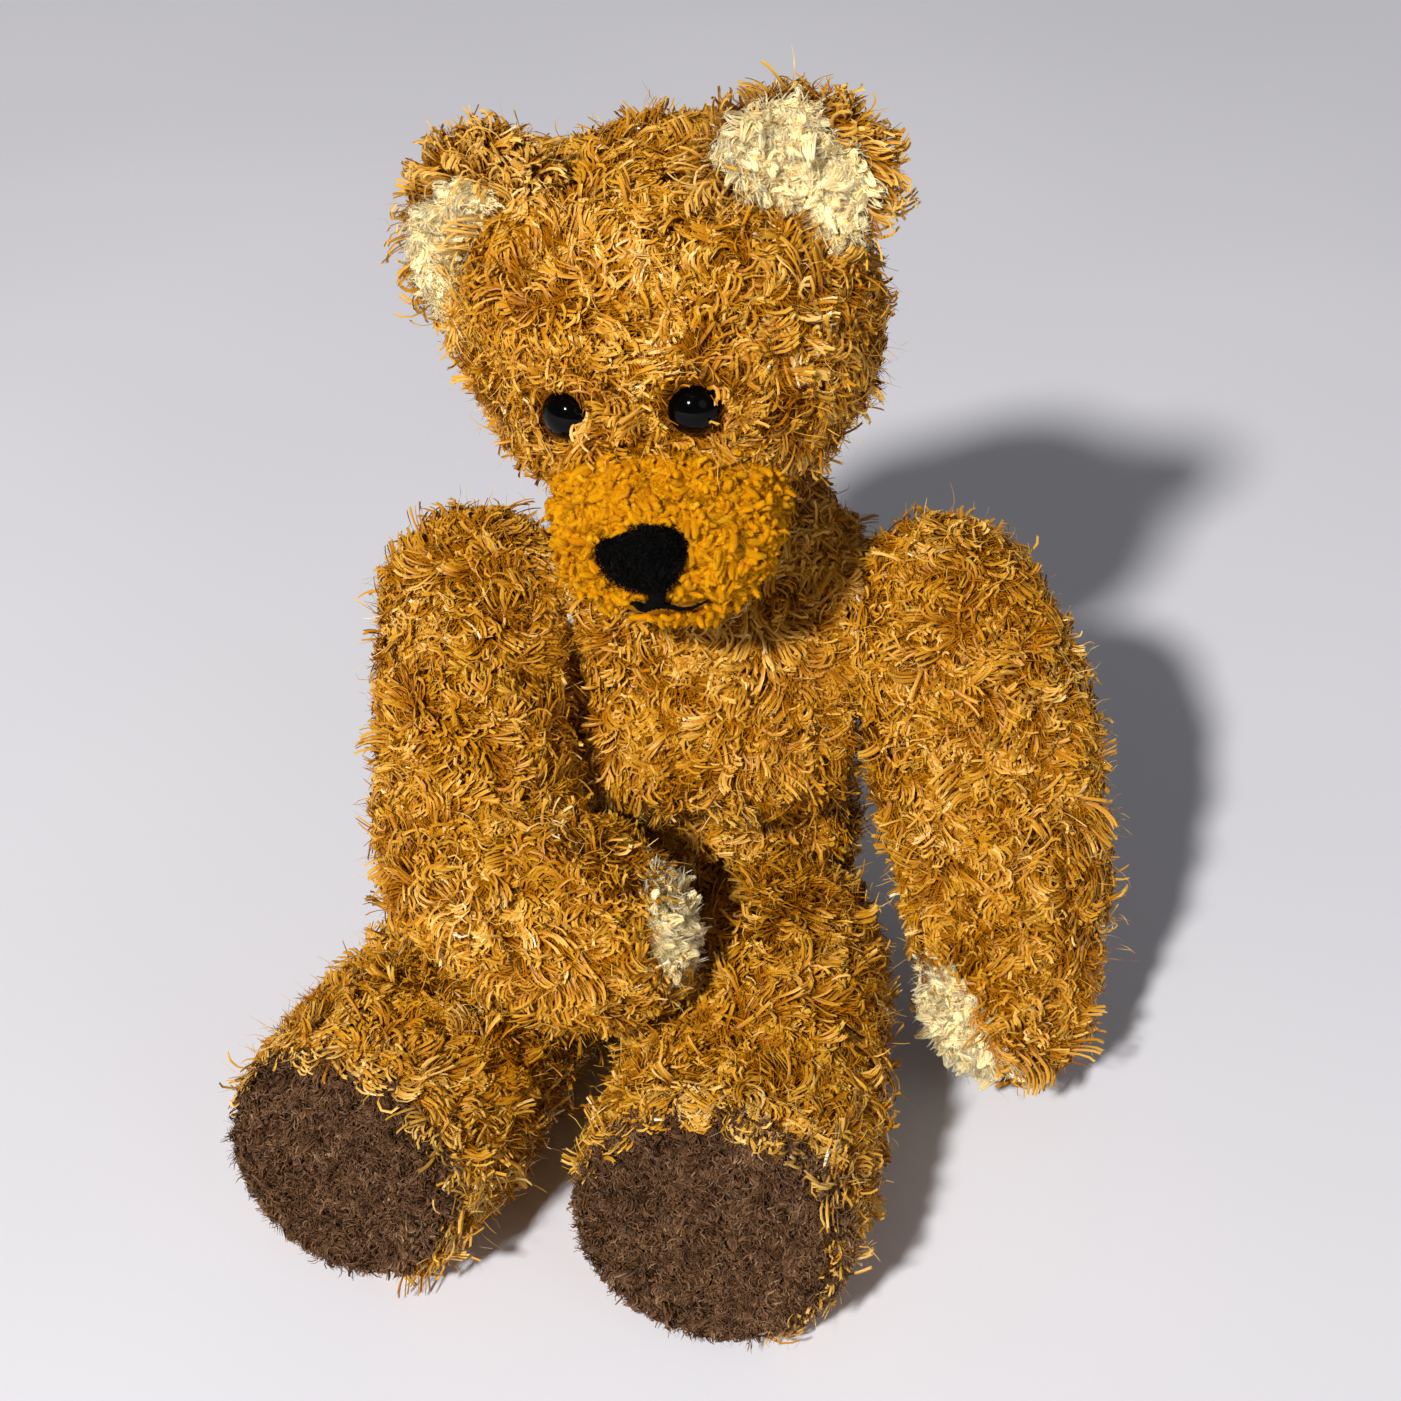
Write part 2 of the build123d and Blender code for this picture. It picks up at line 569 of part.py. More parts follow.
with BuildPart() as neck_washer:
    add(washer(neck, JOINTS["neck"][2]))
with BuildPart() as left_shoulder_washer:
    add(washer(left_shoulder, JOINTS["left_shoulder"][2]))
with BuildPart() as right_shoulder_washer:
    add(washer(right_shoulder, JOINTS["right_shoulder"][2]))
with BuildPart() as left_hip_washer:
    add(washer(left_hip, JOINTS["left_hip"][2]))
with BuildPart() as right_hip_washer:
    add(washer(right_hip, JOINTS["right_hip"][2]))

with BuildPart() as neck_lock_ring:
    add(lock_ring(neck))
with BuildPart() as left_shoulder_lock_ring:
    add(lock_ring(left_shoulder))
with BuildPart() as right_shoulder_lock_ring:
    add(lock_ring(right_shoulder))
with BuildPart() as left_hip_lock_ring:
    add(lock_ring(left_hip))
with BuildPart() as right_hip_lock_ring:
    add(lock_ring(right_hip))

# ================================================================ writing the pieces
PIECES = {
    "body_cover": body_cover, "body_stuffing": body_stuffing,
    "head_cover": head_cover, "head_stuffing": head_stuffing,
    "muzzle": muzzle, "muzzle_stuffing": muzzle_stuffing, "nose": nose, "mouth_stitch": mouth_stitch,
    "left_ear": left_ear, "right_ear": right_ear,
    "left_ear_lining": left_ear_lining, "right_ear_lining": right_ear_lining,
    "left_eye": left_eye, "right_eye": right_eye,
    "left_eye_washer": left_eye_washer, "right_eye_washer": right_eye_washer,
    "left_arm_cover": left_arm_cover_cut, "left_arm_stuffing": left_arm_stuffing, "left_palm_pad": left_palm_pad,
    "right_arm_cover": right_arm_cover, "right_arm_stuffing": right_arm_stuffing, "right_palm_pad": right_palm_pad,
    "left_leg_cover": left_leg_cover, "left_leg_stuffing": left_leg_stuffing, "left_foot_pad": left_foot_pad,
    "right_leg_cover": right_leg_cover, "right_leg_stuffing": right_leg_stuffing, "right_foot_pad": right_foot_pad,
    "neck_disc": neck_disc, "left_shoulder_disc": left_shoulder_disc, "right_shoulder_disc": right_shoulder_disc,
    "left_hip_disc": left_hip_disc, "right_hip_disc": right_hip_disc,
    "neck_washer": neck_washer, "left_shoulder_washer": left_shoulder_washer,
    "right_shoulder_washer": right_shoulder_washer, "left_hip_washer": left_hip_washer,
    "right_hip_washer": right_hip_washer,
    "neck_lock_ring": neck_lock_ring, "left_shoulder_lock_ring": left_shoulder_lock_ring,
    "right_shoulder_lock_ring": right_shoulder_lock_ring, "left_hip_lock_ring": left_hip_lock_ring,
    "right_hip_lock_ring": right_hip_lock_ring,
}
os.makedirs("parts", exist_ok=True)
for name, piece in PIECES.items():
    piece.part.label = name
    export_step(piece.part, "parts/" + name + ".step")
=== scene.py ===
import math

import bmesh
import bpy
import numpy as np
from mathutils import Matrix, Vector
from mathutils.bvhtree import BVHTree
from mathutils.kdtree import KDTree


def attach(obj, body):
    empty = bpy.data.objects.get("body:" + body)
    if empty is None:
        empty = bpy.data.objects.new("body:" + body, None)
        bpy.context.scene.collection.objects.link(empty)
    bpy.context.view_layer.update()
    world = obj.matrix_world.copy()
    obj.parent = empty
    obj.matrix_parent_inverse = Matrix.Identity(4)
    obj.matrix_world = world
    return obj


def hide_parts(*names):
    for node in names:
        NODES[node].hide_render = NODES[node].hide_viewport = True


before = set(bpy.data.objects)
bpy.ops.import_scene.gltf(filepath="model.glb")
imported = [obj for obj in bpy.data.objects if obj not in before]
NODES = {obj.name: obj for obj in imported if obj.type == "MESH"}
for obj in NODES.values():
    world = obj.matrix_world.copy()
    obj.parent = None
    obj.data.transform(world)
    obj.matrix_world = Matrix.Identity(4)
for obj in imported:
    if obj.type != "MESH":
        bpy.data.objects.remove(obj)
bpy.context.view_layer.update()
scene = bpy.context.scene

# ------------------------------------------------------------------ camera
AZ, EL, DIST = math.radians(-5.0), math.radians(36.0), 0.620
TARGET = Vector((0.003, 0.003, 0.075))
forward = Vector((math.sin(AZ) * math.cos(EL), math.cos(AZ) * math.cos(EL), -math.sin(EL)))
cam_data = bpy.data.cameras.new("camera")
camera = bpy.data.objects.new("camera", cam_data)
scene.collection.objects.link(camera)
cam_data.sensor_width = 36.0
cam_data.lens = 36.0 * 2585.4 / 1401.0
cam_data.clip_start, cam_data.clip_end = 0.01, 20.0
camera.location = TARGET - forward * DIST
camera.rotation_mode = "QUATERNION"
camera.rotation_quaternion = forward.to_track_quat("-Z", "Y")
scene.camera = camera


# ------------------------------------------------------------------ small helpers
def unit(v):
    return v / np.maximum(np.linalg.norm(v, axis=-1, keepdims=True), 1e-9)


def P(x, y, z):
    """A point of the bear, in millimetres, moved so that the seat's flat is at the origin."""
    return np.array((x + 4.0, y - 18.0, z), float)


def turned(x, y, z, pitch, yaw, roll):
    a, b, c = math.radians(yaw), math.radians(pitch), math.radians(roll)
    x, y = x * math.cos(a) - y * math.sin(a), x * math.sin(a) + y * math.cos(a)
    y, z = y * math.cos(b) - z * math.sin(b), y * math.sin(b) + z * math.cos(b)
    x, z = x * math.cos(c) + z * math.sin(c), -x * math.sin(c) + z * math.cos(c)
    return np.array((x, y, z))


HX, HY, HZ = (turned(*e, 20.0, -8.0, -11.0) for e in ((1, 0, 0), (0, 1, 0), (0, 0, 1)))
HO = P(-5.5, 0, 189)
NECK = HO - HZ * 36.25


def H(x, y, z):
    """A point given in the head's own frame."""
    return HO + HX * x + HY * y + HZ * z


def hdir(x, y, z):
    return unit(HX * x + HY * y + HZ * z)


def new_object(name, mesh):
    obj = bpy.data.objects.new(name, mesh)
    scene.collection.objects.link(obj)
    return obj


def mesh_from(name, verts, faces, smooth=True):
    """A mesh object from arrays in millimetres."""
    me = bpy.data.meshes.new(name)
    me.from_pydata((np.asarray(verts) * 0.001).tolist(), [], [list(map(int, f)) for f in faces])
    me.validate()
    if smooth:
        me.polygons.foreach_set("use_smooth", [True] * len(me.polygons))
    me.update()
    return new_object(name, me)


def catmull(values, per):
    """Smooth in-between values, per steps from each to the next."""
    v = np.asarray(values, float)
    out = []
    n = len(v)
    for i in range(n - 1):
        p0, p1, p2, p3 = v[max(i - 1, 0)], v[i], v[i + 1], v[min(i + 2, n - 1)]
        for t in np.arange(per) / per:
            out.append(0.5 * (2 * p1 + (p2 - p0) * t + (2 * p0 - 5 * p1 + 4 * p2 - p3) * t * t
                              + (3 * p1 - p0 - 3 * p2 + p3) * t ** 3))
    out.append(v[-1])
    return np.array(out)


def loft(name, centres, xs, ys, a, b, around=56):
    """A closed skin over ellipses."""
    n = len(centres)
    ang = np.linspace(0, 2 * np.pi, around, endpoint=False)
    ring = (centres[:, None, :] + xs[:, None, :] * (a[:, None] * np.cos(ang))[:, :, None]
            + ys[:, None, :] * (b[:, None] * np.sin(ang))[:, :, None])
    verts = np.concatenate([ring.reshape(-1, 3), centres[:1], centres[-1:]])
    faces = []
    for i in range(n - 1):
        for j in range(around):
            k = (j + 1) % around
            faces.append((i * around + j, i * around + k, (i + 1) * around + k, (i + 1) * around + j))
    s, e = n * around, n * around + 1
    for j in range(around):
        k = (j + 1) % around
        faces.append((s, k, j))
        faces.append((e, (n - 1) * around + j, (n - 1) * around + k))
    return mesh_from(name, verts, faces)


def limb(name, path, across, inset, caps=(True, True), last=None):
    """A soft limb along a path of (point, radius across, radius the other way)."""
    pts = np.array([p for p, _, _ in path])
    rad = np.array([(a - inset, b - inset) for _, a, b in path])
    both = catmull(np.hstack([pts, rad]), 6)
    c, a, b = both[:, :3], both[:, 3], both[:, 4]
    t = unit(np.gradient(c, axis=0))
    rows = [(c[i], t[i], a[i], b[i]) for i in range(len(c))]
    turns = np.radians((8, 18, 29, 40, 52, 64, 75, 84))
    if caps[0]:
        p, d, ra, rb = rows[0]
        r = math.sqrt(ra * rb)
        rows = [(p - d * r * math.sin(q), d, ra * math.cos(q), rb * math.cos(q)) for q in turns[::-1]] + rows
    if caps[1]:
        p, d, ra, rb = rows[-1]
        r = math.sqrt(ra * rb)
        rows += [(p + d * r * math.sin(q), d, ra * math.cos(q), rb * math.cos(q)) for q in turns]
    if last is not None:
        rows.append(last)
    c, t = np.array([r[0] for r in rows]), np.array([r[1] for r in rows])
    a, b = np.array([r[2] for r in rows]), np.array([r[3] for r in rows])
    x = np.array(across, float)[None, :] - t * (t @ np.array(across, float))[:, None]
    x = unit(x)
    return loft(name, c, x, np.cross(t, x), a, b)


def bar(name, origin, axis, start, radius, length, around=64):
    """A round cutter along an axis."""
    axis = unit(np.array(axis, float))
    side = unit(np.cross(axis, (0.0, 0.3, 1.0)))
    up = np.cross(axis, side)
    c = np.array([origin + axis * start, origin + axis * (start + length)])
    return loft(name, c, np.array([side, side]), np.array([up, up]), np.array([radius] * 2), np.array([radius] * 2), around)


def prism(name, outline, origin, ex, ey, en, low, high):
    """A cutter with a flat outline given in (ex, ey), from low to high along en."""
    pts = [origin + ex * u + ey * v for u, v in outline]
    n = len(pts)
    verts = [p + en * low for p in pts] + [p + en * high for p in pts]
    faces = [tuple(range(n))[::-1], tuple(range(n, 2 * n))] + [(i, (i + 1) % n, n + (i + 1) % n, n + i) for i in range(n)]
    return mesh_from(name, np.array(verts), faces, smooth=False)


def finished(obj, name, cutters=(), joined=(), voxel=1.5, smooth=6):
    """Joins and cuts closed shapes and remeshes the result into one even skin."""
    for other in joined:
        m = obj.modifiers.new("join", "BOOLEAN")
        m.operation, m.solver, m.object = "UNION", "EXACT", other
    for other in cutters:
        m = obj.modifiers.new("cut", "BOOLEAN")
        m.operation, m.solver, m.object = "DIFFERENCE", "EXACT", other
    m = obj.modifiers.new("skin", "REMESH")
    m.mode, m.voxel_size, m.use_smooth_shade = "VOXEL", voxel * 0.001, True
    if smooth:
        m = obj.modifiers.new("soft", "SMOOTH")
        m.factor, m.iterations = 0.6, smooth
    deps = bpy.context.evaluated_depsgraph_get()
    me = bpy.data.meshes.new_from_object(obj.evaluated_get(deps))
    me.name = name
    for o in [obj, *cutters, *joined]:
        old = o.data
        bpy.data.objects.remove(o)
        bpy.data.meshes.remove(old)
    me.polygons.foreach_set("use_smooth", [True] * len(me.polygons))
    return new_object(name, me)


def arrays(obj):
    """Vertices in millimetres, vertex normals and triangles of a mesh object."""
    me = obj.data
    co = np.empty(len(me.vertices) * 3)
    me.vertices.foreach_get("co", co)
    no = np.empty(len(me.vertices) * 3)
    me.vertices.foreach_get("normal", no)
    me.calc_loop_triangles()
    tri = np.empty(len(me.loop_triangles) * 3, int)
    me.loop_triangles.foreach_get("vertices", tri)
    return co.reshape(-1, 3) * 1000.0, no.reshape(-1, 3), tri.reshape(-1, 3)


def set_points(obj, co):
    obj.data.vertices.foreach_set("co", (co * 0.001).ravel())
    obj.data.update()


class Waves:
    """A smooth random field: a sum of sines of one scale, in millimetres."""

    def __init__(self, scale, seed, dims=1, count=14):
        g = np.random.default_rng(seed)
        self.k = unit(g.normal(size=(dims, count, 3))) * (2 * np.pi / scale) * g.uniform(0.6, 1.5, (dims, count, 1))
        self.ph = g.uniform(0, 2 * np.pi, (dims, count))
        self.n = count

    def __call__(self, p):
        out = np.stack([np.sin(p @ k.T + ph).sum(1) for k, ph in zip(self.k, self.ph)], 1) * math.sqrt(2.0 / self.n)
        return out[:, 0] if len(self.k) == 1 else out


def sample(obj, per_mm2, seed, keep=None):
    """Even random points on a mesh: places and normals."""
    g = np.random.default_rng(seed)
    co, no, tri = arrays(obj)
    a, b, c = co[tri[:, 0]], co[tri[:, 1]], co[tri[:, 2]]
    area = np.linalg.norm(np.cross(b - a, c - a), axis=1) / 2
    n = int(area.sum() * per_mm2 * 2.2)
    pick = g.choice(len(tri), n, p=area / area.sum())
    u, v = g.random(n), g.random(n)
    flip = u + v > 1
    u[flip], v[flip] = 1 - u[flip], 1 - v[flip]
    w = 1 - u - v
    p = a[pick] * w[:, None] + b[pick] * u[:, None] + c[pick] * v[:, None]
    nn = unit(no[tri[pick, 0]] * w[:, None] + no[tri[pick, 1]] * u[:, None] + no[tri[pick, 2]] * v[:, None])
    cell = np.floor(p / (0.86 / math.sqrt(per_mm2))).astype(int)
    key = (cell[:, 0] * 73856093) ^ (cell[:, 1] * 19349663) ^ (cell[:, 2] * 83492791)
    _, first = np.unique(key, return_index=True)
    p, nn = p[first], nn[first]
    if keep is not None:
        k = keep(p, nn)
        p, nn = p[k], nn[k]
    order = g.permutation(len(p))
    return p[order], nn[order]


# ------------------------------------------------------------------ pile
def turn(v, axis, angle):
    """Rodrigues' rotation of many vectors at once."""
    c, s = np.cos(angle)[:, None], np.sin(angle)[:, None]
    return v * c + np.cross(axis, v) * s + axis * (np.sum(axis * v, 1, keepdims=True) * (1 - c))


def locks(p, g, per):
    """Groups roots into locks of about per strands: the lock of each root, and how many locks there are."""
    count = max(len(p) // per, 1)
    tree = KDTree(count)
    for i in range(count):
        tree.insert(p[i], i)
    tree.balance()
    return np.array([tree.find(q)[1] for q in p]), count


def grow(p, n, lay, g, length, tilt, curl, steps, sag=0.05, low=0.6, rise=1.6, twist=50.0, wander=0.8, per=6, stray=0.14, own=0.3,
         sway=0.5, clump=0.0):
    """Centre lines of strands: p and n are roots and normals, lay a direction for each root.
    length, tilt and curl are (mean, spread), tilt and curl in degrees. Strands of one lock lie nearly alike: own is
    the share of the spread each strand keeps to itself, stray the share of strands that keep to no lock, and clump how
    far the tips of a lock draw together."""
    m = len(p)
    which, count = locks(p, g, per)
    loner = g.random(m) < stray

    def spread(dims=1):
        a, b, c = g.normal(size=(count, dims))[which], g.normal(size=(m, dims)), g.normal(size=(m, dims))
        out = np.where(loner[:, None], c, a * math.sqrt(1 - own * own) + b * own)
        return out if dims > 1 else out[:, 0]

    tangent = lay + spread(3) * wander
    tangent = unit(tangent - n * np.sum(tangent * n, 1, keepdims=True))
    t = np.radians(np.clip(tilt[0] + tilt[1] * spread(), 4, 86))
    d = unit(n * np.cos(t)[:, None] + tangent * np.sin(t)[:, None])
    side = np.cross(n, tangent)
    psi = np.radians(twist * spread())
    axis = unit(side * np.cos(psi)[:, None] + n * np.sin(psi)[:, None])
    bend = np.radians(curl[0] + curl[1] * spread()) / steps
    phase, rate = spread() * 1.2, sway * (0.6 + 0.4 * np.abs(spread()))
    L = np.clip(length[0] + length[1] * spread(), length[0] * 0.45, length[0] * 1.6) / steps
    pts = [p]
    q = p
    for k in range(steps):
        q = q + d * L[:, None]
        h = np.sum((q - p) * n, 1)
        need = low + rise * ((k + 1) / steps)
        q = q + n * np.maximum(need - h, 0)[:, None]
        pts.append(q)
        d = turn(d, axis, bend * (0.8 + 0.5 * k / steps) * (1 + rate * np.sin(phase + 0.9 * k)))
        d = turn(d, n, 0.35 * rate * np.cos(phase * 1.7 + 1.1 * k) * min(1.0, 6.0 / steps))
        d = unit(d + np.array((0, 0, -sag)))
    out = np.stack(pts, 1)
    if clump:
        middle = np.zeros((count, steps + 1, 3))
        np.add.at(middle, which, out)
        middle /= np.maximum(np.bincount(which, minlength=count), 1)[:, None, None]
        share = (clump * np.linspace(0, 1, steps + 1) ** 1.4)[None, :, None] * np.where(loner, 0.0, 1.0)[:, None, None]
        out = out + (middle[which] - out) * share
    out[..., 2] = np.maximum(out[..., 2], 0.25 + 0.9 * g.random(m)[:, None])
    return out


def unblocked(lines, block):
    """Which strands have no point that block tells of."""
    return ~block(lines.reshape(-1, 3)).reshape(lines.shape[:2]).any(1)


def ribbons(name, lines, normals, widths, g, profile, arch=0.28, notch=0.0, colour=None, loose=35.0):
    """One mesh of narrow strips along centre lines, crowned across and with a UV map of (strand, along)."""
    m, s1, _ = lines.shape
    d = unit(np.gradient(lines, axis=1))
    out = normals[:, None, :] + g.normal(size=(m, 1, 3)) * math.tan(math.radians(loose)) * 0.6
    side = unit(np.cross(d, out))
    top = unit(np.cross(side, d))
    w = widths[:, None, None] * np.asarray(profile)[None, :, None] * 0.5
    left, right = lines - side * w, lines + side * w
    v = np.linspace(0, 1, s1)
    if colour is None:
        colour = g.random(m)
    if arch > 0:
        mid = lines + top * w * 2 * arch
        if notch:
            mid[:, -1] = lines[:, -1] * (1 - notch) + lines[:, -2] * notch + (top * w * 2 * arch)[:, -1]
        co = np.stack([left, mid, right], 2).reshape(-1, 3)
        per = 3
    else:
        co = np.stack([left, right], 2).reshape(-1, 3)
        per = 2
    base = (np.arange(m) * s1 * per)[:, None, None]
    ring = (np.arange(s1 - 1) * per)[None, :, None]
    if per == 3:
        quad = np.array([[0, 1, 4, 3], [1, 2, 5, 4]])
    else:
        quad = np.array([[0, 1, 3, 2]])
    idx = (base[..., None] + ring[..., None] + quad[None, None]).reshape(-1, 4)
    me = bpy.data.meshes.new(name)
    nv, nf = len(co), len(idx)
    me.vertices.add(nv)
    me.vertices.foreach_set("co", (co * 0.001).astype(np.float32).ravel())
    me.loops.add(nf * 4)
    me.loops.foreach_set("vertex_index", idx.ravel().astype(np.int32))
    me.polygons.add(nf)
    me.polygons.foreach_set("loop_start", (np.arange(nf) * 4).astype(np.int32))
    me.polygons.foreach_set("use_smooth", np.ones(nf, bool))
    uv = np.empty((m, s1, per, 2))
    uv[..., 0] = np.clip(colour, 0.004, 0.996)[:, None, None]
    uv[..., 1] = (v * 0.98 + 0.01)[None, :, None]
    layer = me.uv_layers.new(name="OFBake")
    layer.data.foreach_set("uv", uv.reshape(-1, 2)[idx.ravel()].astype(np.float32).ravel())
    me.update(calc_edges=True)
    me.validate()
    return new_object(name, me)


# ------------------------------------------------------------------ materials
def colour(hex_code):
    c = [int(hex_code[i:i + 2], 16) / 255 for i in (1, 3, 5)]
    return [x / 12.92 if x <= 0.04045 else ((x + 0.055) / 1.055) ** 2.4 for x in c] + [1.0]


def material(name, rough=0.6, sheen=0.0, tint=None, specular=0.5):
    m = bpy.data.materials.new(name)
    m.use_nodes = True
    b = m.node_tree.nodes["Principled BSDF"]
    b.inputs["Roughness"].default_value = rough
    b.inputs["Sheen Weight"].default_value = sheen
    b.inputs["Specular IOR Level"].default_value = specular
    if tint:
        b.inputs["Sheen Tint"].default_value = colour(tint)
    return m, m.node_tree, b


def ramp(nt, stops, source, interpolation="LINEAR"):
    r = nt.nodes.new("ShaderNodeValToRGB")
    r.color_ramp.interpolation = interpolation
    e = r.color_ramp.elements
    while len(e) < len(stops):
        e.new(0.5)
    for i, (at, c) in enumerate(stops):
        e[i].position = at
    for i, (at, c) in enumerate(stops):
        e[i].color = colour(c) if isinstance(c, str) else c
    nt.links.new(source, r.inputs["Fac"])
    return r.outputs["Color"]


def strand_material(name, stops, root, tip, rough=0.45, sheen=0.2, tint=None, specular=0.5, tip_at=0.72, mid=(0.86, 0.86, 0.86, 1), fluff=0.0,
                    soft=0.0, reach=0.0012):
    """Colour by strand (u) and along it (v): stops across u, multiplied by root ... tip factors along v. The darker
    root and middle factors are painted shade deep in the pile; the paler tip is partly the yarn's own paler ends and
    partly painted highlight.
    """
    m, nt, b = material(name, rough, sheen, tint, specular)
    b.subsurface_method = "BURLEY"
    b.inputs["Subsurface Weight"].default_value = soft
    b.inputs["Subsurface Scale"].default_value = reach
    b.inputs["Subsurface Radius"].default_value = (1.0, 0.75, 0.45)
    uv = nt.nodes.new("ShaderNodeUVMap")
    uv.uv_map = "OFBake"
    sep = nt.nodes.new("ShaderNodeSeparateXYZ")
    nt.links.new(uv.outputs["UV"], sep.inputs[0])
    base = ramp(nt, stops, sep.outputs["X"])
    # painted shade: each strand darkens towards its root; its tip is partly its own paler end and partly painted
    # highlight
    along = ramp(nt, [(0.0, root), (0.45, mid), (tip_at, (1, 1, 1, 1)), (1.0, tip)], sep.outputs["Y"])
    mix = nt.nodes.new("ShaderNodeMix")
    mix.data_type, mix.blend_type = "RGBA", "MULTIPLY"
    mix.inputs["Factor"].default_value = 1.0
    nt.links.new(base, mix.inputs["A"])
    nt.links.new(along, mix.inputs["B"])
    nt.links.new(mix.outputs["Result"], b.inputs["Base Color"])
    if fluff:
        tc = nt.nodes.new("ShaderNodeTexCoord")
        fine = nt.nodes.new("ShaderNodeTexNoise")
        fine.inputs["Scale"].default_value, fine.inputs["Detail"].default_value = 1900.0, 5.0
        fine.inputs["Roughness"].default_value = 0.75
        nt.links.new(tc.outputs["Object"], fine.inputs["Vector"])
        bp = nt.nodes.new("ShaderNodeBump")
        bp.inputs["Strength"].default_value, bp.inputs["Distance"].default_value = fluff, 0.0008
        nt.links.new(fine.outputs["Fac"], bp.inputs["Height"])
        nt.links.new(bp.outputs["Normal"], b.inputs["Normal"])
    return m


def woolly(name, dark, mid, light, scale=260.0, bump=0.6, rough=0.9, sheen=0.25, tint=None, specular=0.2):
    """A backing seen between strands, or a fibrous solid: object-space noise in colour and bump."""
    m, nt, b = material(name, rough, sheen, tint, specular)
    tc = nt.nodes.new("ShaderNodeTexCoord")
    n1 = nt.nodes.new("ShaderNodeTexNoise")
    n1.inputs["Scale"].default_value, n1.inputs["Detail"].default_value = scale, 6.0
    n1.inputs["Roughness"].default_value = 0.7
    nt.links.new(tc.outputs["Object"], n1.inputs["Vector"])
    col = ramp(nt, [(0.3, dark), (0.5, mid), (0.72, light)], n1.outputs["Fac"])
    nt.links.new(col, b.inputs["Base Color"])
    n2 = nt.nodes.new("ShaderNodeTexNoise")
    n2.inputs["Scale"].default_value, n2.inputs["Detail"].default_value = scale * 4.5, 4.0
    nt.links.new(tc.outputs["Object"], n2.inputs["Vector"])
    bp = nt.nodes.new("ShaderNodeBump")
    bp.inputs["Strength"].default_value, bp.inputs["Distance"].default_value = bump, 0.0006
    nt.links.new(n2.outputs["Fac"], bp.inputs["Height"])
    nt.links.new(bp.outputs["Normal"], b.inputs["Normal"])
    return m


def dress(obj, mat, body, slot, *nodes):
    obj.data.materials.clear()
    obj.data.materials.append(mat)
    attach(obj, body)
    if nodes:
        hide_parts(*nodes)
    return obj


GOLD = [(0.0, "#AA6A04"), (0.25, "#BA7A08"), (0.5, "#CA8E18"), (0.75, "#DCA842"), (0.9, "#EEC67A"), (1.0, "#FAE4B8")]
# A paler, lit copy of the gold yarn: painted light, standing in for the light that rim strands catch
PAINTED_LIGHT_GOLD = [(0.0, "#C08418"), (0.3, "#CE9830"), (0.65, "#DEB054"), (1.0, "#F4DCA4")]
# pile_yarn's root and mid factors are painted shade deep in the pile; its tip factor is partly paler yarn ends and
# partly painted highlight
pile_yarn = strand_material("pile_yarn", GOLD, (0.43, 0.265, 0.04, 1), (1.05, 1.17, 1.6, 1), rough=0.42, sheen=0.0, specular=0.36,
                            mid=(0.82, 0.73, 0.46, 1), soft=0.1)
ear_yarn = strand_material("ear_yarn", PAINTED_LIGHT_GOLD, (0.50, 0.34, 0.10, 1), (1.06, 1.12, 1.4, 1), rough=0.44, sheen=0.0, specular=0.36,
                           mid=(0.88, 0.82, 0.66, 1), soft=0.15)
# the fuzz is darker than the yarn: partly its own amber and partly painted shade under the strands
pile_fuzz = strand_material("pile_fuzz", [(0.0, "#8E5000"), (0.5, "#A46400"), (1.0, "#B87802")], (0.70, 0.54, 0.22, 1),
                            (1.08, 1.12, 1.2, 1), rough=0.6, sheen=0.0, specular=0.06)
# the backing's own amber is darkened as painted shade for the depths between the strands
pile_backing = woolly("pile_backing", "#522A00", "#764400", "#905600", scale=420, sheen=0.0)
snout_curls = strand_material("snout_curls", [(0.0, "#C67E04"), (0.4, "#D28E04"), (0.75, "#DE9C08"), (1.0, "#ECB01C")], (0.88, 0.80, 0.6, 1),
                              (1.04, 1.05, 1.08, 1), rough=0.85, sheen=0.0, specular=0.08, mid=(0.97, 0.95, 0.92, 1), fluff=0.8, soft=0.4)
snout_backing = woolly("snout_backing", "#C07A00", "#D68E02", "#E29E08", scale=520, sheen=0.0)
cream_curls = strand_material("cream_curls", [(0.0, "#E8DAAE"), (0.5, "#EEE2B8"), (1.0, "#F6ECCA")], (0.96, 0.94, 0.88, 1),
                              (1.02, 1.02, 1.02, 1), rough=0.85, sheen=0.0, specular=0.08, mid=(0.99, 0.98, 0.95, 1), fluff=0.4, soft=0.9, reach=0.0026)
cream_backing = woolly("cream_backing", "#E4D4A2", "#ECDEAE", "#F4E8BE", scale=420, sheen=0.0)
sole_curls = strand_material("sole_curls", [(0.0, "#2C1A0C"), (0.35, "#52361F"), (0.7, "#765438"), (1.0, "#A88664")], (0.42, 0.36, 0.30, 1),
                             (1.05, 1.05, 1.05, 1), rough=0.6, sheen=0.0, specular=0.25)
sole_backing = woolly("sole_backing", "#180C06", "#2E1C10", "#46301E", scale=520, sheen=0.0)
felt_black = woolly("felt_black", "#020202", "#040404", "#0C0B0B", scale=900, bump=0.8, rough=0.95, sheen=0.0, specular=0.05)
black_fibre = strand_material("black_fibre", [(0.0, "#020202"), (0.6, "#070606"), (1.0, "#1A1918")], (0.7, 0.7, 0.7, 1), (1, 1, 1, 1), rough=0.8,
                              sheen=0.0, specular=0.08)

eye_black, nt, b = material("eye_black", 0.09, specular=0.12)
tc = nt.nodes.new("ShaderNodeTexCoord")
nz = nt.nodes.new("ShaderNodeTexNoise")
nz.inputs["Scale"].default_value = 300.0
nt.links.new(tc.outputs["Object"], nz.inputs["Vector"])
nt.links.new(ramp(nt, [(0.3, "#010101"), (0.7, "#040303")], nz.outputs["Fac"]), b.inputs["Base Color"])

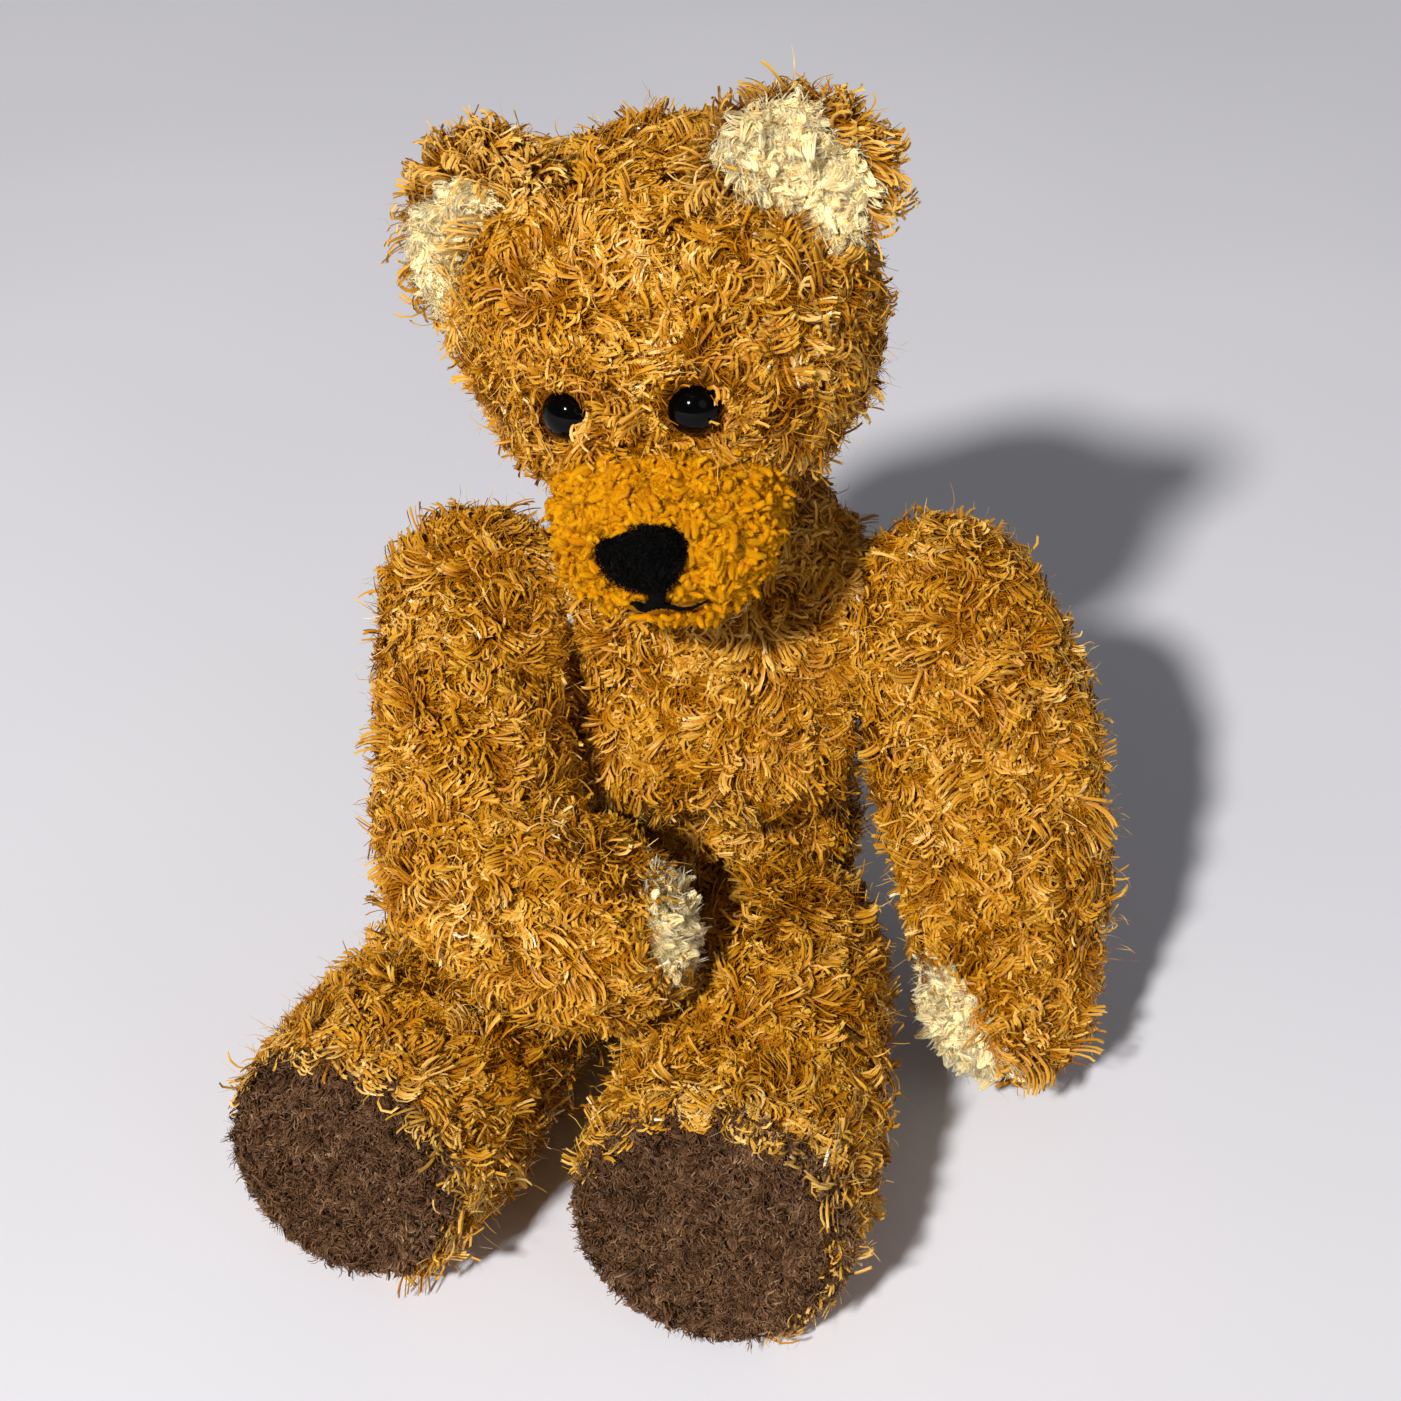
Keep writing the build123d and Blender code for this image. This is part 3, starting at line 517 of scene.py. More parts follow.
joint_plastic, nt, b = material("joint_plastic", 0.45)
tc = nt.nodes.new("ShaderNodeTexCoord")
nz = nt.nodes.new("ShaderNodeTexNoise")
nz.inputs["Scale"].default_value, nz.inputs["Detail"].default_value = 500.0, 3.0
nt.links.new(tc.outputs["Object"], nz.inputs["Vector"])
nt.links.new(ramp(nt, [(0.35, "#D6D3C8"), (0.65, "#E4E1D8")], nz.outputs["Fac"]), b.inputs["Base Color"])
bp = nt.nodes.new("ShaderNodeBump")
bp.inputs["Strength"].default_value, bp.inputs["Distance"].default_value = 0.2, 0.0002
nt.links.new(nz.outputs["Fac"], bp.inputs["Height"])
nt.links.new(bp.outputs["Normal"], b.inputs["Normal"])

for name, node in NODES.items():
    if name.endswith(("_disc", "_washer", "_lock_ring")):
        node.data.materials.clear()
        node.data.materials.append(joint_plastic)

# ------------------------------------------------------------------ shapes, in millimetres
INSET = 2.1
LEFT_SHOULDER, RIGHT_SHOULDER = P(33.0, 7, 112), P(-31.0, 7, 110)
LEFT_HIP, RIGHT_HIP = P(4.0, -16, 28), P(-16.0, -14, 28)
RIGHT_HIP_AXIS = np.array((-math.cos(math.radians(12)), math.sin(math.radians(12)), 0))
LEFT_ARM = [(P(54.6, 7, 110.8), 23.4, 22.2), (P(61.6, 2, 96), 25.2, 23.0), (P(67.6, -5, 77), 25.4, 22.6),
            (P(72.0, -13, 58), 24.0, 21.4), (P(74.2, -20, 42), 21.8, 20.2), (P(74.4, -26, 29), 19.8, 19.6)]
RIGHT_UPPER = [(P(-49.8, 7, 108.5), 22.8, 21.8), (P(-48.8, -10, 101.5), 21.6, 21.6), (P(-46.6, -31, 90), 21.4, 21.6),
               (P(-43.2, -48, 79.5), 21.8, 21.5)]
RIGHT_FORE = [(P(-42.0, -49.5, 79.0), 21.0, 21.8), (P(-30, -56.5, 76.0), 21.2, 21.6), (P(-21, -60.5, 74.0), 20.6, 21.0),
              (P(-13.5, -63.2, 72.6), 19.0, 19.6)]
LEFT_LEG = [(P(22.2, -16, 28), 22.0, 26.0), (P(21.6, -32, 31.6), 24.0, 30.0), (P(20.0, -48, 32.4), 26.4, 31.4),
            (P(17.8, -67, 30.6), 28.6, 30.2), (P(15.4, -85, 30.4), 30.2, 29.8), (P(13.6, -97, 31.2), 29.6, 29.0)]
RIGHT_LEG = [(P(-34.6, -14, 28.6), 22.4, 26.6), (P(-42.0, -29, 28.6), 24.6, 27.0), (P(-48.6, -44, 28.8), 26.4, 27.6),
             (P(-55.2, -62, 29.4), 28.6, 28.8), (P(-61.0, -78, 30.6), 29.8, 29.4), (P(-64.9, -88.6, 31.6), 28.6, 28.6)]
SOLE_A, SOLE_B = 27.6, 27.4
TORSO = [(-4.0, 8.0, 0.0, 0, 24.0, 24.0), (-4.0, 7.0, 3.5, 0, 29.5, 28.5), (-3.6, 4.0, 13.0, -2, 34.0, 32.0),
         (-3.0, 1.0, 30.0, -4, 36.0, 33.5), (-2.4, 2.4, 44.0, -5, 36.0, 32.4), (-1.8, 9.5, 54.0, -6, 36.0, 25.5),
         (-1.0, 11.5, 64.0, -9, 35.6, 24.0), (-0.6, 4.0, 77.0, -13, 35.0, 33.4), (0.4, 6.0, 88.0, -13, 35.0, 32.0), (1.0, 9.8, 99.0, -12, 35.4, 28.6), (1.3, 12.4, 116.0, -7, 34.6, 25.6), (1.5, 13.8, 131.5, 1, 29.0, 22.0),
         (1.4, 13.4, 145.0, 10, 20.6, 17.4)]
HEAD = [(-35.75, 15.5, 15.0), (-33.0, 21.5, 20.5), (-27.0, 31.0, 29.0), (-17.0, 39.8, 37.0), (-4.0, 43.2, 40.2),
        (8.0, 42.2, 39.4), (20.0, 37.2, 34.8), (29.0, 28.5, 27.0), (34.8, 17.5, 17.0), (37.6, 8.0, 8.0)]
MUZZLE = [(-18.0, 2.0, -15.2, 20.0, 17.2), (-30.0, 2.0, -15.8, 21.6, 18.4), (-40.0, 2.0, -16.6, 22.0, 18.8), (-46.5, 1.8, -17.6, 20.8, 18.2),
          (-51.0, 1.6, -18.6, 18.2, 16.4), (-54.0, 1.4, -19.4, 13.8, 12.8), (-55.8, 1.2, -19.8, 8.4, 7.6), (-56.5, 1.2, -19.8, 3.6, 3.2)]


def sole(path):
    """The sole's plane: origin, normal and the level direction across it."""
    p, q = path[-2][0], path[-1][0]
    t = q - p
    t = unit(np.array((t[0], t[1], 0.0)))
    n = t * math.cos(math.radians(12)) + np.array((0, 0, 1.0)) * math.sin(math.radians(12))
    return q + t * 9.5, n, unit(np.array((-t[1], t[0], 0.0)))


def skin_torso():
    rows = [(P(x + 2.5 * (20 < z < 120), y, z + (1.2 if z == 0 else 0)), tilt, a + 2.5 * (20 < z < 120), b) for x, y, z, tilt, a, b in TORSO]
    c = np.array([r[0] for r in rows] + [NECK])
    z = np.array([(0, -math.sin(math.radians(r[1])), math.cos(math.radians(r[1]))) for r in rows] + [HZ])
    ab = np.array([(r[2] - INSET, r[3] - INSET) for r in rows] + [(14.5 - INSET * 0.6, 14.0 - INSET * 0.6)])
    all_ = catmull(np.hstack([c, z, ab]), 5)
    c, z = all_[:, :3], unit(all_[:, 3:6])
    x = unit(np.array((1.0, 0, 0))[None] - z * z[:, :1])
    return loft("torso_skin", c, x, np.cross(z, x), all_[:, 6], all_[:, 7], 72)


def skin_head():
    rows = np.array(HEAD)
    rows = catmull(rows, 5)
    k = np.where(rows[:, 0] > 30, INSET + 0.6, INSET)
    z = np.where(rows[:, 0] < -33, rows[:, 0] + 1.4, rows[:, 0] - np.clip((rows[:, 0] - 20) / 17, 0, 1) * 2.6)
    c = HO[None] + HZ[None] * z[:, None]
    n = len(rows)
    return loft("head_skin", c, np.repeat(HX[None], n, 0), np.repeat(HY[None], n, 0), np.maximum(rows[:, 1] - k, 2.0),
                np.maximum(rows[:, 2] - k, 2.0), 72)


def skin_muzzle():
    rows = catmull(np.array(MUZZLE), 5)
    c = np.array([H(x, y, z) for y, x, z in rows[:, :3]])
    n = len(rows)
    return loft("muzzle_skin", c, np.repeat(HX[None], n, 0), np.repeat(HZ[None], n, 0), rows[:, 3], rows[:, 4], 56)


def hip_pocket(name, origin, axis, radius, low):
    """The cutter for the hollow in the torso's side that a thigh turns in: an arc behind the hip, open forwards and below."""
    back = unit(np.cross(axis, (0, 0, 1.0)))
    back = -back if back[1] < 0 else back
    arc = [(radius * math.cos(a), radius * math.sin(a)) for a in np.radians(np.linspace(0, 90, 13))]
    outline = [(-90, -100), (radius, -100), *arc, (-90, radius)]
    if np.dot(np.cross((0, 0, 1.0), back), axis) < 0:
        outline = outline[::-1]
    return prism(name, outline, origin, np.array((0, 0, 1.0)), back, axis, low, 70.0)


torso_core = finished(skin_torso(), "torso_core", cutters=[
    hip_pocket("c1", LEFT_HIP, np.array((1.0, 0, 0)), 28.5, -0.6),
    hip_pocket("c2", RIGHT_HIP, RIGHT_HIP_AXIS, 28.5, -0.6),
    prism("c3", [(-60, -60), (60, -60), (60, 60), (-60, 60)], LEFT_SHOULDER, np.array((0, 1.0, 0)), np.array((0, 0, 1.0)), np.array((1.0, 0, 0)), -0.6, 60),
    prism("c4", [(-60, -60), (60, -60), (60, 60), (-60, 60)], RIGHT_SHOULDER, np.array((0, 1.0, 0)), np.array((0, 0, 1.0)), np.array((-1.0, 0, 0)), -0.6, 60)])
head_core = finished(skin_head(), "head_core")
muzzle_core = finished(skin_muzzle(), "muzzle_core", voxel=1.2, smooth=4)
left_arm_core = finished(limb("a", LEFT_ARM, (1, 0, 0), INSET), "left_arm_core",
                         cutters=[bar("b", LEFT_SHOULDER, (1, 0, 0), -60, 40, 61.2)])
right_arm_core = finished(limb("a", RIGHT_UPPER, (1, 0, 0), INSET), "right_arm_core",
                          cutters=[bar("b", RIGHT_SHOULDER, (-1, 0, 0), -60, 34, 61.2)],
                          joined=[limb("c", RIGHT_FORE, (0, 0, 1), INSET)])


def leg_core(name, path, hip, axis):
    o, n, _ = sole(path)
    return finished(limb("a", path, (1, 0, 0), INSET, (True, False), (o - n * 0.5, n, SOLE_A - INSET * 0.7, SOLE_B - INSET * 0.7)), name,
                    cutters=[bar("b", hip, axis, -60, 35.5, 61.2)])


left_leg_core = leg_core("left_leg_core", LEFT_LEG, LEFT_HIP, (1, 0, 0))
right_leg_core = leg_core("right_leg_core", RIGHT_LEG, RIGHT_HIP, RIGHT_HIP_AXIS)


# ------------------------------------------------------------------ growing the pile
def lay_field(seed, down=0.35, scale=26.0):
    f = Waves(scale, seed, 3)
    return lambda p: f(p) * 0.9 + np.array((0, 0, -down))


def tone_field(seed, scale=22.0):
    f = Waves(scale, seed)
    return lambda p, g: np.clip(0.5 + f(p) * 0.09 + g.normal(size=len(p)) * 0.14, 0, 1)


def both(*tests):
    """Keeps what every test keeps."""
    return lambda p, n: np.logical_and.reduce([t(p, n) for t in tests])


def parted(name, lines, normals, widths, g, profile, mat, body, slot, arch, colour, notch=0.0, loose=35.0, most=190000):
    """Ribbons in as many pieces as keep each one light, split from the top down."""
    faces = (lines.shape[1] - 1) * (4 if arch > 0 else 2)
    count = max(1, math.ceil(len(lines) * faces / most))
    order = np.argsort(-lines[:, 0, 2], kind="stable")
    made = []
    for i, part in enumerate(np.array_split(order, count)):
        obj = ribbons(name if count == 1 else f"{name}_{i + 1}", lines[part], normals[part], widths[part], g, profile, arch=arch,
                      notch=notch, colour=colour[part], loose=loose)
        made.append(dress(obj, mat, body, slot))
    return made


def coat(prefix, core, body, seed, keep=None, length=(8.0, 1.8), density=0.60, fuzz=1.9, down=0.35, width=0.58, tilt=(56, 15),
         comb=None, frizz=0.16, block=None, yarn=pile_yarn):
    """Yarn strands in locks, the finer fibres under them and a little frizz over them, grown on a core."""
    g = np.random.default_rng(seed)
    lay, tone = lay_field(seed + 1, down), tone_field(seed + 2)

    def layer(tag, per_mm2, k, width, narrow, wide, profile, mat, arch, notch, pale, **way_of_growing):
        p, n = sample(core, per_mm2, seed + k, keep)
        way = lay(p)
        lines = grow(p, n, way if comb is None else comb(p, n, way), g, **way_of_growing)
        w = np.clip(g.normal(width, width * 0.24, len(p)), narrow, wide)
        shade = pale + (1 - pale) * tone(p, g)
        if block is not None:
            free = unblocked(lines, block)
            lines, n, w, shade = lines[free], n[free], w[free], shade[free]
        return parted(prefix + tag, lines, n, w, g, profile, mat, body, "golden_pile", arch, shade, notch=notch)

    made = layer("_pile", density, 3, width, 0.34, 0.95, (0.65, 0.95, 1.0, 1.0, 1.0, 0.95), yarn, 0.28, 0.25, 0.0, length=length,
                 tilt=tilt, curl=(135, 50), steps=5, sag=0.02, low=0.9, rise=2.0, twist=46.0, wander=0.66, per=6, stray=0.14, own=0.2,
                 clump=0.30)
    made += layer("_fuzz", fuzz, 4, 0.27, 0.14, 0.5, (0.9, 1.0, 0.4), pile_fuzz, 0.0, 0.0, 0.0, length=(4.8, 1.3), tilt=(56, 14),
                  curl=(90, 45), steps=2, sag=0.02, low=0.35, rise=0.9, twist=50.0, wander=0.9, per=10, stray=0.15)
    made += layer("_frizz", frizz, 5, 0.15, 0.09, 0.25, (1.0, 1.0, 1.0, 1.0, 0.8, 0.4), yarn, 0.0, 0.0, 0.4, length=(7.5, 2.2),
                  tilt=(44, 18), curl=(200, 90), steps=5, sag=0.0, low=0.5, rise=1.6, twist=80.0, wander=1.5, per=2, stray=0.6)
    return made


def curls(name, core, body, slot, mat, seed, keep=None, density=1.0, length=(5.0, 1.0), width=(0.6, 0.12), curl=(150, 50), tilt=(50, 20),
          steps=6, rise=1.6, arch=0.25, wander=1.6, profile=None, loose=50.0, per=6, clump=0.0):
    """Short looped and curled pile."""
    g = np.random.default_rng(seed)
    tone = tone_field(seed + 2, 9.0)
    p, n = sample(core, density, seed + 3, keep)
    lines = grow(p, n, Waves(11.0, seed + 1, 3)(p), g, length, tilt, curl, steps, sag=0.0, low=0.35, rise=rise, twist=70.0, wander=wander,
                 per=per, clump=clump)
    w = np.clip(g.normal(width[0], width[1], len(p)), width[0] * 0.5, width[0] * 1.8)
    if profile is None:
        profile = np.interp(np.linspace(0, 1, steps + 1), (0, 0.2, 0.8, 1), (0.7, 1.0, 1.0, 0.55))
    obj = ribbons(name, lines, n, w, g, profile, arch=arch, colour=tone(p, g), loose=loose)
    return dress(obj, mat, body, slot)


def chenille(name, core, body, slot, mat, seed, keep, density, length, radius, tilt=(60, 14), curl=(115, 50), rise=0.6, fuzz=0.9, fine=0.14,
             nap=3.0, block=None):
    """Soft round tufts, each covered in short fibres, over a short nap."""
    g = np.random.default_rng(seed)
    p, n = sample(core, density, seed + 3, keep)
    lines = grow(p - n * 0.3, n, Waves(9.0, seed + 1, 3)(p), g, length, tilt, curl, 4, sag=0.0, low=0.15, rise=rise, twist=60.0, wander=1.2,
                 per=3, stray=0.35, clump=0.25)
    if block is not None:
        free = unblocked(lines, block)
        lines, n = lines[free], n[free]
    r = np.clip(g.normal(radius, radius * 0.2, len(n)), radius * 0.55, radius * 1.5)
    tufts = tubes(name, lines, r, (0.75, 1.0, 1.0, 0.95, 0.6), around=6, colour=np.clip(g.normal(0.5, 0.18, len(n)), 0, 1), normals=n)
    dress(tufts, mat, body, slot)
    top = surface_tree(core)

    def upper(q, nq):
        return np.array([(top.find_nearest(Vector(v))[1] or Vector((0, 0, 1))).dot(Vector(w)) > -0.1 for v, w in zip(q, nq)])

    for tag, base, per_mm2, k, size, zone in (("_fuzz", tufts, fuzz, 5, (1.9, 0.6), upper), ("_nap", core, nap, 7, (2.4, 0.7), keep)):
        p, n = sample(base, per_mm2, seed + k, zone)
        lines = grow(p, n, Waves(9.0, seed + 6, 3)(p), g, size, (54, 18), (110, 60), 2, sag=0.0, low=0.1, rise=0.7, twist=70.0, wander=1.2)
        if block is not None:
            free = unblocked(lines, block)
            lines, n = lines[free], n[free]
        w = np.clip(g.normal(fine, fine * 0.25, len(n)), fine * 0.5, fine * 1.8)
        parted(name + tag, lines, n, w, g, (0.9, 1.0, 0.4), mat, body, slot, 0.0, np.clip(g.normal(0.5, 0.22, len(n)), 0, 1))
    return tufts


def wool(name, core, body, seed, keep):
    """Brushed cream wool: fine fibres drawn together into soft tufts."""
    curls(name + "_nap", core, body, "cream_pile", cream_curls, seed + 50, keep, density=7.0, length=(3.4, 0.8), width=(0.26, 0.05),
          curl=(80, 50), tilt=(58, 14), steps=3, rise=1.0, arch=0.0, wander=1.0, per=10, clump=0.4)
    return curls(name, core, body, "cream_pile", cream_curls, seed, keep, density=5.5, length=(5.2, 1.1), width=(0.34, 0.07), curl=(80, 40),
                 tilt=(54, 14), steps=4, rise=1.7, arch=0.0, wander=0.9, per=18, clump=0.80)


def recolour(core, zone, mat):
    """Gives the faces of a core that lie in a zone another backing."""
    co, no, _ = arrays(core)
    inside = zone(co, no)
    core.data.materials.append(mat)
    slot = len(core.data.materials) - 1
    for poly in core.data.polygons:
        if all(inside[v] for v in poly.vertices):
            poly.material_index = slot


def patch(origin, ex, ez, a, b):
    """Roots on the side that ez looks at, within an ellipse a along ex by b across it."""
    ez = unit(np.array(ez, float))
    ex = np.array(ex, float)
    ex = unit(ex - ez * (ex @ ez))
    ey = np.cross(ez, ex)

    def zone(p, n):
        r = p - origin
        return ((r @ ex / a) ** 2 + (r @ ey / b) ** 2 < 1) & (n @ ez > 0.15) & (np.abs(r @ ez) < 16)
    return zone


def outside(zone):
    return lambda p, n: ~zone(p, n)


def off_flat(origin, axis, radius):
    """Keeps roots off a joint's pressed face."""
    axis = unit(np.array(axis, float))

    def keep(p, n):
        r = p - origin
        u = r @ axis
        around = np.linalg.norm(r - u[:, None] * axis, axis=1)
        return ~((u < 2.2) & (around < radius))
    return keep


def rim_of_flat(origin, axis):
    """Roots along the edge of a joint's pressed face."""
    axis = unit(np.array(axis, float))

    def keep(p, n):
        r = p - origin
        u = r @ axis
        around = np.linalg.norm(r - u[:, None] * axis, axis=1)
        return (np.abs(u) < 6.5) & (around > 12) & (around < 30)
    return keep


def away(point, radius):
    return lambda p, n: np.linalg.norm(p - point, axis=1) > radius


def head_local(p):
    r = p - HO
    return np.stack([r @ HX, r @ HY, r @ HZ], 1)


CAMERA_AT = np.array(camera.location) * 1000.0
AHEAD = np.array(forward)
RIGHTWARDS = unit(np.cross(AHEAD, (0, 0, 1.0)))
UPWARDS = np.cross(RIGHTWARDS, AHEAD)


def sight(x, y):
    """The direction from the camera through a place in the picture, in its 1401 units."""
    return unit(AHEAD + RIGHTWARDS * (x - 700.5) / 2585.4 - UPWARDS * (y - 700.5) / 2585.4)


def on_plane(x, y, point, normal):
    d = sight(x, y)
    return CAMERA_AT + d * (np.dot(point - CAMERA_AT, normal) / np.dot(d, normal))


def surface_tree(obj):
    co, _, tri = arrays(obj)
    return BVHTree.FromPolygons(co.tolist(), tri.tolist())


def on_surface(tree, x, y, lift):
    """Where a line of sight meets a surface, or passes nearest to it, lifted off it along its normal."""
    at, n, _, _ = tree.ray_cast(Vector(CAMERA_AT), Vector(sight(x, y)))
    if at is None:
        at = Vector(on_plane(x, y, HO - HY * 46.0, -AHEAD))
        for _ in range(6):
            at, n, _, _ = tree.find_nearest(at)
            at = Vector(CAMERA_AT + sight(x, y) * np.dot(np.array(at) - CAMERA_AT, sight(x, y)))
        at, n, _, _ = tree.find_nearest(at)
    return np.array(at) + np.array(n) * lift, np.array(n)


def tubes(name, lines, radii, profile, around=7, colour=None, squash=1.0, normals=None):
    """Round yarns along centre lines, closed at both ends, with the (strand, along) UV map."""
    m, s1, _ = lines.shape
    d = unit(np.gradient(lines, axis=1))
    out = np.repeat(np.array((0.1, 0.2, 1.0))[None, None], m, 0) if normals is None else normals[:, None, :]
    side = unit(np.cross(d, np.broadcast_to(out, d.shape)))
    top = np.cross(side, d)
    ang = np.linspace(0, 2 * np.pi, around, endpoint=False)
    r = radii[:, None, None, None] * np.asarray(profile)[None, :, None, None]
    ring = (lines[:, :, None, :] + side[:, :, None, :] * np.cos(ang)[None, None, :, None] * r
            + top[:, :, None, :] * np.sin(ang)[None, None, :, None] * r * squash)
    co = np.concatenate([ring.reshape(m, -1, 3), lines[:, :1], lines[:, -1:]], 1)
    per = s1 * around + 2
    i, j = np.arange(s1 - 1)[:, None], np.arange(around)[None]
    k = (j + 1) % around
    quads = np.stack([i * around + j, i * around + k, (i + 1) * around + k, (i + 1) * around + j], -1).reshape(-1, 4)
    j = np.arange(around)
    k = (j + 1) % around
    ends = np.concatenate([np.stack([np.full(around, s1 * around), k, j], 1),
                           np.stack([np.full(around, s1 * around + 1), (s1 - 1) * around + j, (s1 - 1) * around + k], 1)])
    base = (np.arange(m) * per)[:, None, None]
    quads, ends = (base + quads[None]).reshape(-1, 4), (base + ends[None]).reshape(-1, 3)
    if colour is None:
        colour = np.full(m, 0.5)
    uv = np.empty((m, per, 2))
    uv[..., 0] = np.clip(colour, 0.004, 0.996)[:, None]
    uv[:, :-2, 1] = np.repeat(np.linspace(0.01, 0.99, s1), around)[None]
    uv[:, -2, 1], uv[:, -1, 1] = 0.01, 0.99
    me = bpy.data.meshes.new(name)
    index = np.concatenate([quads.ravel(), ends.ravel()])
    me.vertices.add(m * per)
    me.vertices.foreach_set("co", (co * 0.001).astype(np.float32).ravel())
    me.loops.add(len(index))
    me.loops.foreach_set("vertex_index", index.astype(np.int32))
    me.polygons.add(len(quads) + len(ends))
    me.polygons.foreach_set("loop_start", np.concatenate([np.arange(len(quads)) * 4, len(quads) * 4 + np.arange(len(ends)) * 3]).astype(np.int32))
    me.polygons.foreach_set("use_smooth", np.ones(len(quads) + len(ends), bool))
    layer = me.uv_layers.new(name="OFBake")
    layer.data.foreach_set("uv", uv.reshape(-1, 2)[index].astype(np.float32).ravel())
    me.update(calc_edges=True)
    me.validate()
    return new_object(name, me)


def inside_sight(outline, p):
    """Whether points, seen from the camera, fall within an outline given in picture units."""
    r = p - CAMERA_AT
    w = r @ AHEAD
    x, y = 700.5 + 2585.4 * (r @ RIGHTWARDS) / w, 700.5 - 2585.4 * (r @ UPWARDS) / w
    o = np.asarray(outline, float)
    hit = np.zeros(len(p), bool)
    for (x0, y0), (x1, y1) in zip(o, np.roll(o, -1, 0)):
        if y0 == y1:
            continue
        cross = (y0 > y) != (y1 > y)
        hit ^= cross & (x < (x1 - x0) * (y - y0) / (y1 - y0) + x0)
    return hit


# ---- face
EYES = {"left": (H(13.6, -36.2, 10.8), hdir(0.31, -0.90, 0.29)), "right": (H(-14.0, -36.2, 9.8), hdir(-0.31, -0.90, 0.29))}
NOSE_AT, NOSE_OUT = H(0.8, -54.0, -11.0), hdir(0, -0.95, 0.31)
NOSE = [(598.8, 555.7), (601.4, 548.6), (606.8, 543.2), (617.5, 537.9), (627.3, 534.3), (637.1, 531.4), (647.9, 529.6), (661.1, 529.6),
        (671.1, 531.2), (679.4, 535.0), (684.5, 540.4), (687.1, 547.7), (687.6, 557.5), (685.8, 566.4), (681.3, 577.1), (674.4, 585.6),
        (667, 590), (657.7, 592.4), (647.9, 593), (637.1, 591.4), (626.4, 588), (617.5, 583.6), (610.4, 578.2), (604.1, 571.2), (600.5, 562.9)]
MOUTH = [(618, 608), (626, 610.5), (634, 611), (643, 608.5), (652, 605.5), (661, 604.5), (670, 606.5), (681, 609), (692, 607.5), (701, 604),
         (709, 600)]
STEM = [(657, 584), (657, 590), (657, 596), (657, 602)]
LIPS = [(617, 605), (636, 605), (645, 600), (646, 580), (669, 580), (669, 600), (682, 604), (696, 601), (706, 596), (711, 601), (694, 613),
        (664, 612), (640, 616), (618, 613)]


def off_snout(grown):
    """Roots of the head's pile stop where the snout is sewn on."""
    def keep(p, n):
        q = head_local(p)
        inside = ((q[:, 0] - 2.0) / (22.0 + grown)) ** 2 + ((q[:, 2] + 16.2) / (18.6 + grown)) ** 2 < 1
        return ~(inside & (q[:, 1] < 0))
    return keep


def comb_head(p, n, way):
    """Strands near an eye or the snout lie away from it."""
    for centre, _ in EYES.values():
        r = p - centre
        d = np.linalg.norm(r, axis=1)
        way = way + unit(r) * (3.2 * np.exp(-(d / 7.5) ** 2))[:, None]
    q = head_local(p)
    u = np.stack([(q[:, 0] - 2.0) / 23.5, (q[:, 2] + 16.2) / 20.0], 1)
    r = np.linalg.norm(u, axis=1)
    pull = np.where(q[:, 1] < -8, np.exp(-((r - 1.0) / 0.3) ** 2), 0.0) * 1.2
    away_from = HX * (u[:, :1] / np.maximum(r[:, None], 1e-6)) + HZ * (u[:, 1:] / np.maximum(r[:, None], 1e-6))
    return way + away_from * pull[:, None]


EAR_AT = {1: H(32.2, 3.0, 34.0), -1: H(-34.2, 2.0, 20.7)}
EAR_HALF = {1: (17.4, 17.4, 0.0), -1: (16.8, 26.5, -23.5)}
EAR_CREAM = {1: [(704, 146), (722, 134), (738, 106), (751, 112), (776, 98), (800, 98), (816, 101), (824, 131), (846, 142), (862, 156),
                 (877, 186), (862, 205), (858, 256), (828, 242), (797, 224), (794, 207), (764, 195), (738, 186), (720, 160)],
             -1: [(443, 186), (470, 180), (496, 184), (492, 204), (483, 232), (462, 262), (456, 318), (446, 326), (432, 308), (414, 282),
                  (400, 268), (400, 240), (412, 226), (424, 208)]}


def ear_frame(side):
    c = EAR_AT[side]
    n = hdir(side * 0.22, -0.94, 0.24)
    x = unit(HX - n * (HX @ n))
    y = np.cross(n, x)
    lean = math.radians(EAR_HALF[side][2])
    return c, n, x * math.cos(lean) + y * math.sin(lean), y * math.cos(lean) - x * math.sin(lean)


def ear_skin(name, side, thick=3.0):
    """A cupped round flap."""
    c, n, x, y = ear_frame(side)
    wide, tall = EAR_HALF[side][:2]
    rings, around = 12, 48
    ang = np.linspace(0, 2 * np.pi, around, endpoint=False)
    verts, faces = [], []
    for face in (1, -1):
        for i in range(rings):
            f = math.sin(math.radians(90 * (i + 1) / rings))
            t = thick * math.sqrt(max(1 - f ** 2.6, 0)) * (0.55 if face > 0 else 1.0)
            for a_ in ang:
                verts.append(c + x * wide * f * math.cos(a_) + y * tall * f * math.sin(a_) + n * (3.6 * f ** 2 - 3.0 + face * t))
        first = len(verts) - rings * around
        centre = len(verts)
        verts.append(c + n * (-3.0 + face * thick * (0.55 if face > 0 else 1.0)))
        for j in range(around):
            k = (j + 1) % around
            tri = (centre, first + j, first + k)
            faces.append(tri if face > 0 else tri[::-1])
            for i in range(rings - 1):
                q = (first + i * around + j, first + (i + 1) * around + j, first + (i + 1) * around + k, first + i * around + k)
                faces.append(q if face > 0 else q[::-1])
    half = rings * around + 1
    o1, o2 = (rings - 1) * around, half + (rings - 1) * around
    for j in range(around):
        k = (j + 1) % around
        faces.append((o1 + j, o2 + j, o2 + k, o1 + k))
    return mesh_from(name, np.array(verts), faces)


def ear_zone(side, lining):
    """Roots on the ear's front inside the lining, or all the others outside the head."""
    n = ear_frame(side)[1]

    def keep(p, nn):
        pale = ((nn @ n) > 0.1) & inside_sight(EAR_CREAM[side], p)
        q = head_local(p)
        out = (q[:, 0] / 40.5) ** 2 + (q[:, 1] / 37.5) ** 2 + (q[:, 2] / 36.0) ** 2 > 1
        return (pale if lining else ~pale) & out
    return keep


